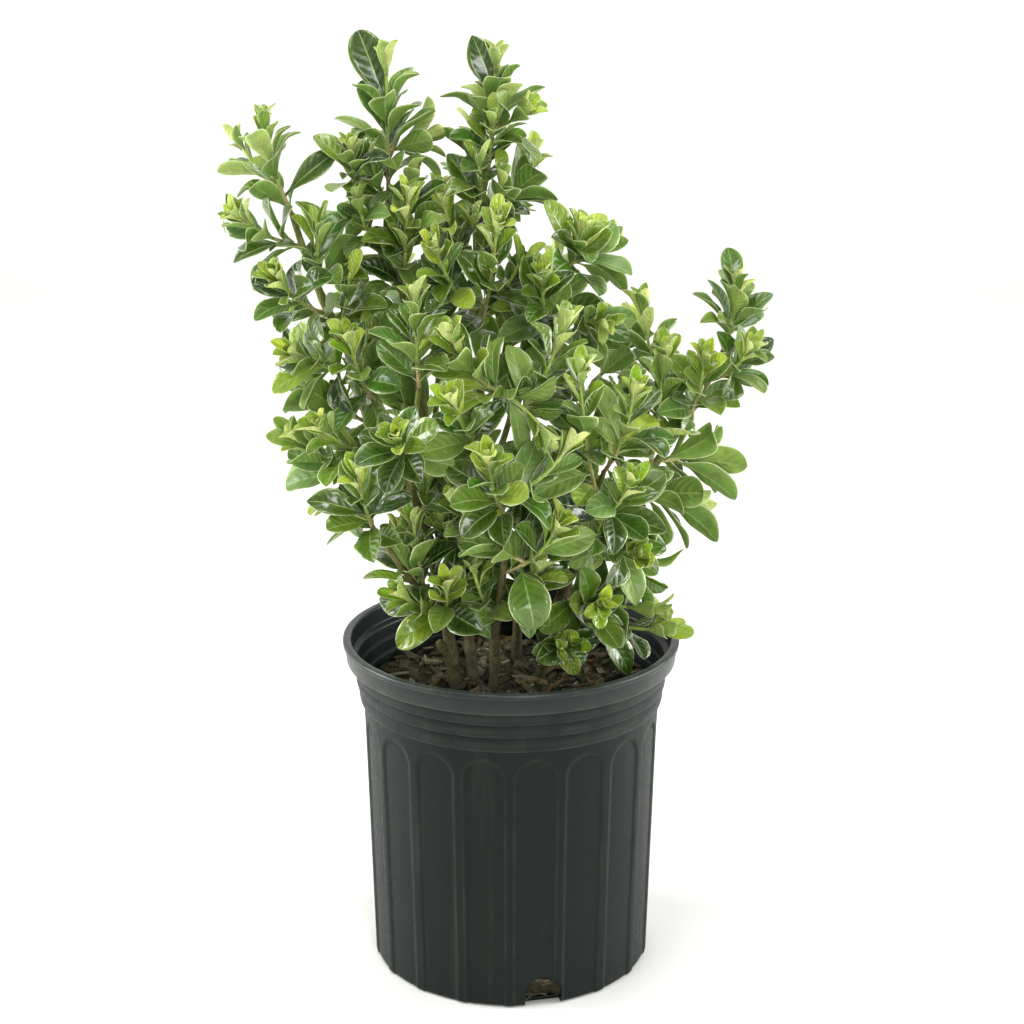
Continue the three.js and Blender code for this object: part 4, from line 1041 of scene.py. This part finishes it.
def addLeaf(pile, leaf, age, tint, seed, plain=False):
    shape = bladeShape
    draw = seededDraws(seed)
    t, s = (smallRows, smallColumns) if plain else (bladeRows, bladeColumns)
    centre, normal = bladeAxis(leaf, t)
    length, half = leaf["length"], leaf["width"] / 2
    stalk = shape["stalk"] + 0.012 * length
    blunt = draw(*shape["blunt"]) * (1 - 0.25 * smooth(0.2, 0.6, age))  # young leaves end rounder
    reach = np.maximum(half * widthAt(t, blunt, draw(*shape["foot"])), stalk * (1 - 0.75 * t ** 6))
    reach[-1] = 0.12
    opened = smooth(0.04, 0.24, t)
    fold = leaf["fold"] * opened
    wave = length * draw(*shape["wave"]) * opened * np.sqrt(np.clip(1 - t, 0, 1))
    beats, starts = draw(*shape["beats"]), (draw(0, 1), draw(0, 1))
    sweep = length * draw(-shape["sweep"], shape["sweep"])
    twist = draw(-shape["twist"], shape["twist"])
    curl = length * draw(*shape["roll" if draw() < shape["rolled"] else "curl"])  # some tips roll back
    lift = (np.abs(s) ** draw(*shape["cup"]))[None, :] * (reach * np.sin(fold))[:, None]
    start = np.where(np.sign(s) < 0, starts[0], starts[1])
    lift = lift + (wave[:, None] * np.sin(2 * math.pi * (beats * t[:, None] + start[None, :]))
                   * (s * s)[None, :])
    lift = lift - (curl * smooth(0.6, 1.0, t) * t)[:, None]
    lift = lift + (np.sin(twist * t) * reach)[:, None] * s[None, :]
    shift = s[None, :] * (reach * np.cos(fold))[:, None] + (sweep * t * t)[:, None]
    up = normal[:, None, :]
    surface = centre[:, None, :] + shift[:, :, None] * leaf["side"] + lift[:, :, None] * up
    thick = ((shape["thick"] + 0.004 * length) * np.ones_like(t)
             + shape["stalkThick"] * (1 - smooth(0.02, 0.14, t)))
    thin = (1 - 0.5 * np.abs(s))[None, :] * thick[:, None]
    rib = (np.abs(s) < 0.05)[None, :] * (shape["rib"] * length * (1 - 0.85 * t))[:, None]
    top = surface + (thin - 0.25 * rib)[:, :, None] * up
    under = surface - (thin + rib)[:, :, None] * up
    rows, columns = len(t), len(s)
    total = rows * columns
    faces = gridFaces(rows, columns) + gridFaces(rows, columns, first=total, turned=True)
    bladeFaces = len(faces)
    rim = []
    for i in range(rows - 1):
        a, b = i * columns, (i + 1) * columns
        rim += [(a, b), (b + columns - 1, a + columns - 1)]
    for j in range(columns - 1):
        a = total - columns + j
        rim += [(j + 1, j), (a, a + 1)]
    faces += [(p, q, q + total, p + total) for p, q in rim]
    uv = np.stack(np.broadcast_arrays((s * 0.5 + 0.5)[None, :], t[:, None]), axis=-1).reshape(-1, 2)
    pile.add(np.concatenate([top.reshape(-1, 3), under.reshape(-1, 3)]), faces, np.concatenate([uv, uv]),
             age=age, tint=tint, under=np.repeat([0.0, 1.0], total),
             flat=[False] * bladeFaces + [True] * len(rim))


# the room that added leaves may take, in mm, with the view of a lead leaf as a share of its length
crowdRule = {"gap": 0.4, "inPot": 103, "overMix": 201, "overRim": 236, "viewNear": 1, "viewFar": 45,
             "viewRadius": 0.3}


class Crowd:
    # what is in place already, so that an added leaf can be tried against it

    def __init__(self):
        self.low, self.high, self.trees, self.stems = [], [], [], []
        self.shown = []

    def show(self, leaf):
        # the room in front of a lead leaf stays open
        centre, normal = bladeAxis(leaf, 0.55)
        self.shown.append((centre, normal, crowdRule["viewRadius"] * leaf["length"]))

    def hides(self, points):
        for centre, normal, radius in self.shown:
            away = points - centre
            ahead = away @ normal
            aside = np.linalg.norm(away - ahead[:, None] * normal, axis=1)
            inView = (ahead > crowdRule["viewNear"]) & (ahead < crowdRule["viewFar"])
            if np.any(inView & (aside < radius)):
                return True
        return False

    def outline(self, leaf):
        t, s = np.array([0.2, 0.4, 0.6, 0.8, 1.0]), np.array([-0.95, 0.0, 0.95])
        centre, normal = bladeAxis(leaf, t)
        reach = np.maximum(leaf["width"] / 2 * widthAt(t), 0.3)
        shift = s[None, :] * (reach * math.cos(leaf["fold"]))[:, None]
        lift = np.abs(s)[None, :] * (reach * math.sin(leaf["fold"]))[:, None]
        grid = centre[:, None, :] + shift[:, :, None] * leaf["side"]
        grid = grid + lift[:, :, None] * normal[:, None, :]
        return grid.reshape(-1, 3), gridFaces(len(t), len(s))

    def keep(self, points, faces, stem):
        self.low.append(points.min(0))
        self.high.append(points.max(0))
        self.trees.append(BVHTree.FromPolygons(points.tolist(), faces))
        self.stems.append(stem)

    def isFree(self, leaf, stem, inTuft=False):
        rule = crowdRule
        points, faces = self.outline(leaf)
        radius, height = np.hypot(points[:, 0], points[:, 1]), points[:, 2]
        inPot = (radius < rule["inPot"]) & (height > rule["overMix"])
        if not np.all((height > rule["overRim"]) | inPot) or (not inTuft and self.hides(points)):
            return False
        low, high = points.min(0) - rule["gap"], points.max(0) + rule["gap"]
        near = np.where(np.all(np.array(self.low) < high, axis=1)
                        & np.all(np.array(self.high) > low, axis=1))[0]
        tree = BVHTree.FromPolygons(points.tolist(), faces)
        return not any(self.stems[i] != stem and tree.overlap(self.trees[i]) for i in near)


def stemName(number):
    return "leafy_stem_" + str(number + 1).zfill(2)


def shootsOf(row):
    limb, height, tip, pairs, leaf = row[:5]
    side, turn, lead = (list(row[5:]) + [None] * 3)[:3]
    turn = math.radians(height * 40 if turn is None else turn)
    main = Shoot(seatOn(limb, height), np.array(tip, float), pairs, leaf, turn, lead)
    if side is None:
        return [main]
    fork = main.point(leafRule["sideStart"])
    return [main, Shoot(fork, np.array(side, float), 2, leaf * leafRule["sideLeaf"], turn)]


def cadLeaves(shoot, seed, tips):
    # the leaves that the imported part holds: each is the try whose tip is a corner of its node
    found = []
    for pair, half, side, place in shoot.places():
        low, high = shoot.sections[1 + pair * 2], shoot.sections[2 + pair * 2]
        seat = dict(low, centre=(low["centre"] + high["centre"]) / 2)
        spec = leafSpec(place, shoot.leaf)
        lead = bool(shoot.lead) and tuple(shoot.lead[:2]) == (pair, half)
        if lead:
            length, width, spread, face = shoot.lead[2:6]
            spec = {"length": length, "width": (width, width), "spread": spread, "face": face,
                    "bend": 0.5, "fold": 0.25, "sunward": 4}
        order = pair * 2 + half
        draw = seededDraws(seed * 100 + order)
        kept = None
        for attempt in range(leafRule["tries"]):
            leaf = leafAt(seat, side, spec, draw(-0.12, 0.12) * (1 + attempt / 2), draw)
            if tips.find(Vector(bladeAxis(leaf, 1.0)[0] * mm))[2] < 0.03 * mm:
                kept = leaf
                break
        found.append({"leaf": kept, "order": order, "side": side, "place": place, "spec": spec,
                      "seat": seat, "lead": lead})
    return found


def allPairs(shoot):
    # every leaf of a shoot that the solids leave out
    return [{"seat": shoot.seatAt(shoot.middles[pair]), "side": side, "place": place,
             "spec": leafSpec(place, shoot.leaf)} for pair, half, side, place in shoot.places()]


def growExtras(shoot, seed, stem, crowd, dropped, tuftRings):
    # leaves too small or too close for the solid: between the pairs, in the axils and at the tip
    rule = leafRule
    wanted = [(item["seat"], item["side"], item["spec"], item["place"], rule["dropped"])
              for item in dropped]

    def want(share, side, spec, place, size):
        wanted.append((shoot.seatAt(share), side, spec, place, size))

    middles = [shoot.middles[0] * 0.45]
    middles += [(a + b) / 2 for a, b in zip(shoot.middles[:-1], shoot.middles[1:])]
    for i, share in enumerate(middles):
        place = (i + 0.5) / shoot.pairs
        spec = leafSpec(place, shoot.leaf)
        spec["spread"] *= rule["steeper"]
        for half in range(2):
            want(share, i % 2 + half * 2 + 0.5, spec, place, rule["between"])
    pick = seededDraws(seed * 53 + 3)
    for pair, half, side, _ in shoot.places():
        if pick() <= rule["axilShare"]:
            want(shoot.middles[pair] + 0.01, side + 0.35, dict(leafSpec(0.85, shoot.leaf), spread=0.75),
                 0.8 + 0.15 * pair / max(shoot.pairs - 1, 1), rule["axil"])
    for ring in range(tuftRings):
        # the leaves of a tuft overlap, so each is tried at a part of its width
        spec = dict(leafSpec(1.0, shoot.leaf), spread=0.3 - 0.08 * ring, width=(0.4, 0.5), fold=0.6,
                    bend=0.18, slim=0.4)
        size = rule["tuft"] * (1.0 - 0.14 * ring)
        for half in range(2):
            want(0.95 + 0.014 * ring, ring % 2 + half * 2 + 0.5, spec, 1.0, size)
    grown = []
    for number, (seat, side, spec, place, size) in enumerate(wanted):
        draw = seededDraws(seed * 977 + number * 13 + 5)
        for attempt in range(rule["extraTries"]):
            swing = draw(-0.2, 0.2) * (1 + attempt / 2)
            tried = dict(spec, length=spec["length"] * size * (1 - 0.05 * attempt))
            leaf = leafAt(seat, side, tried, swing, draw)
            slim = dict(leaf, width=leaf["width"] * spec.get("slim", 1.0))
            if crowd.isFree(slim, stem, "slim" in spec):
                crowd.keep(*crowd.outline(leaf), None)
                grown.append((leaf, place))
                break
    return grown


def ageOf(place, draw):
    # 0 for a dark grown leaf, 1 for a lime one
    rule = leafRule
    if place > rule["youngFrom"]:
        return min(1.0, draw(0.4, 1.0) * (0.6 + 0.6 * (place - 0.7) / 0.3))
    return draw(0.0, 0.16) if draw() < rule["darkShare"] else draw(0.2, 0.6)


def addStem(pile, shoot, woodyFoot):
    rule = leafRule
    shares = np.linspace(0, 1, max(8, int(shoot.length / 4.5)))
    radii = rule["stemRadius"] * 0.92 + (rule["tipRadius"] - rule["stemRadius"]) * shares
    for middle in shoot.middles:
        radii = radii * (1 + 0.22 * np.exp(-((shares - middle) * shoot.length / 2.2) ** 2))
    age = woodyFoot + (1 - woodyFoot) * smooth(0.0, 0.85, shares)
    pile.add(*tube([shoot.point(share) for share in shares], radii, 8, ragged=0.05, seed=2),
             age=np.repeat(age, 8), material=1)
    # a pointed bud closes the tip
    end, along = shoot.point(1.0), unit(shoot.point(1.0) - shoot.point(0.98))
    bud = [end - along, end + along * 1.2, end + along * 3.4, end + along * 6.2]
    pile.add(*tube(bud, [0.9, 1.25, 1.0, 0.15], 7), age=1.0, material=1)


def addExtras(pile, shoot, seed, draw, node, crowd, dropped, rings, youth, plainUnder):
    extras = growExtras(shoot, seed, node, crowd, dropped, rings)
    for i, (leaf, place) in enumerate(extras):
        addLeaf(pile, leaf, youth * ageOf(place, draw), draw(), seed * 500 + i,
                leaf["length"] < plainUnder)
    return len(extras)


def makeLeafyStems():
    rule = leafRule
    crowd = Crowd()
    stems = []
    for limbs in canes.values():
        for name, (thick, thin, _) in limbs.items():
            path = limbPaths[name][::20]
            points, faces, _ = tube(path, np.linspace(thick, thin, len(path)), 5)
            crowd.keep(points, faces, name)
    for number, row in enumerate(leafyStems):
        node = stemName(number)
        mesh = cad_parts[node].data
        tips = KDTree(len(mesh.vertices))
        for i, vertex in enumerate(mesh.vertices):
            tips.insert(vertex.co, i)
        tips.balance()
        shoots = shootsOf(row)
        leaves = [cadLeaves(shoot, number * 2 + k + 1, tips) for k, shoot in enumerate(shoots)]
        stems.append((node, shoots, leaves))
        for shoot, items in zip(shoots, leaves):
            points, faces, _ = tube([shoot.point(k / 8) for k in range(9)], [1.4] * 9, 4)
            crowd.keep(points, faces, node)
            for item in items:
                if item["leaf"]:
                    crowd.keep(*crowd.outline(item["leaf"]), None)
                    if item["lead"]:
                        crowd.show(item["leaf"])
    kept = sum(bool(item["leaf"]) for _, _, leaves in stems for items in leaves for item in items)
    print("leaves of the solids found:", kept)

    inner = {}
    for order, (holder, limb, height, tip, pairs, leaf) in enumerate(innerShoots):
        shoot = Shoot(seatOn(limb, height), np.array(tip, float), pairs, leaf, math.radians(height * 40))
        inner.setdefault(stemName(holder - 1), []).append((200 + order, shoot))

    added = 0
    for number, (node, shoots, leaves) in enumerate(stems):
        pile = MeshPile()
        for k, (shoot, items) in enumerate(zip(shoots, leaves)):
            seed = number * 2 + k + 1
            draw = seededDraws(seed * 31 + 7)
            addStem(pile, shoot, draw(0.0, 0.25) + 0.25 * k)
            for item in items:
                if not item["leaf"]:
                    continue
                # the last pair stays greener than the tuft between them
                greener = rule["lastPairAge"] if item["place"] > rule["youngFrom"] else 1.0
                age, tint = ageOf(item["place"], draw) * greener, draw()
                if item["lead"]:
                    age, tint = rule["leadAge"], shoot.lead[6]
                addLeaf(pile, item["leaf"], age, tint, seed * 100 + item["order"],
                        item["leaf"]["length"] < rule["plainUnder"]["solid"])
            dropped = [item for item in items if not item["leaf"]]
            added += addExtras(pile, shoot, seed, draw, node, crowd, dropped, rule["tuftRings"], 1.0,
                               rule["plainUnder"]["extra"])
        for seed, shoot in inner.get(node, []):
            draw = seededDraws(seed * 31 + 7)
            addStem(pile, shoot, 0.2)
            added += addExtras(pile, shoot, seed, draw, node, crowd, allPairs(shoot), rule["innerRings"],
                               rule["innerAge"], rule["plainUnder"]["inner"])
        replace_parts(pile.build("leafyStem" + node[-2:], [leafMaterial, stemMaterial]), node)
    print("leaves added:", added)


makeLeafyStems()
print("leafy stems made")

# room, camera and lights, in metres

studio = {
    "distance": 1.5179, "height": 0.7864, "sideways": 0.0006, "pitch": 17.127,
    "lens": 83.43, "film": 36.0, "floor": paint(240, 240, 236), "floorFront": -3.0, "floorWidth": 8.0,
    "bendStart": 2.2, "bend": 0.8, "wall": 3.2,
    "worldColour": (1.0, 1.0, 1.0, 1.0), "worldStrength": 0.3,
    # place, target, size and power
    "topLight": ((-0.3, -0.6, 2.5), (0, 0, 0.3), 0.9, 27),
    "frontLight": ((0.5, -2.4, 1.1), (0, 0, 0.35), 1.0, 30),
    "leftLight": ((-1.9, 0.2, 0.8), (0, 0, 0.3), 1.2, 43),
    "rightLight": ((1.9, 0.2, 0.85), (0, 0, 0.3), 1.2, 39),
    "wallLight": ((0.0, 1.2, 2.4), (0, 2.6, 0.3), 1.6, 30),
}


def makeRoom():
    # a pale floor that curves up into a wall behind
    start, bend, side = studio["bendStart"], studio["bend"], studio["floorWidth"] / 2
    path = [(studio["floorFront"], 0.0), (start, 0.0)]
    path += [(start + bend * math.sin(a), bend * (1 - math.cos(a)))
             for a in np.linspace(0.1, math.pi / 2, 10)]
    path.append((start + bend, studio["wall"]))
    points = [(x, y, z - 0.0002) for y, z in path for x in (-side, side)]  # just under the pot
    mesh = bpy.data.meshes.new("studioFloor")
    mesh.from_pydata(points, [], [(i, i + 1, i + 3, i + 2) for i in range(0, len(points) - 2, 2)])
    mesh.polygons.foreach_set("use_smooth", [True] * len(mesh.polygons))
    material, board, shader = newMaterial("paleFloor", **{
        "Base Color": studio["floor"], "Roughness": 0.7, "Specular IOR Level": 0.2})
    mesh.materials.append(material)
    putInScene("studioFloor", mesh)


def makeLight(name):
    place, target, size, power = studio[name]
    light = bpy.data.lights.new(name, "AREA")
    light.shape, light.size, light.energy = "DISK", size, power
    holder = putInScene(name, light)
    holder.location = place
    holder.rotation_euler = (Vector(target) - Vector(place)).to_track_quat("-Z", "Y").to_euler()


def makeStudio():
    makeRoom()
    for name in ("topLight", "frontLight", "leftLight", "rightLight", "wallLight"):
        makeLight(name)
    world = bpy.data.worlds.new("paleWorld")
    world.use_nodes = True
    sky = world.node_tree.nodes["Background"]
    sky.inputs["Color"].default_value = studio["worldColour"]
    sky.inputs["Strength"].default_value = studio["worldStrength"]
    scene = bpy.context.scene
    scene.world = world
    scene.view_settings.view_transform = "Standard"
    camera = bpy.data.cameras.new("photoCamera")
    camera.lens, camera.sensor_width, camera.clip_end = studio["lens"], studio["film"], 50
    scene.camera = putInScene("photoCamera", camera)
    scene.camera.location = (studio["sideways"], -studio["distance"], studio["height"])
    scene.camera.rotation_euler = (math.radians(90 - studio["pitch"]), 0, 0)


makeStudio()
print("studio made")
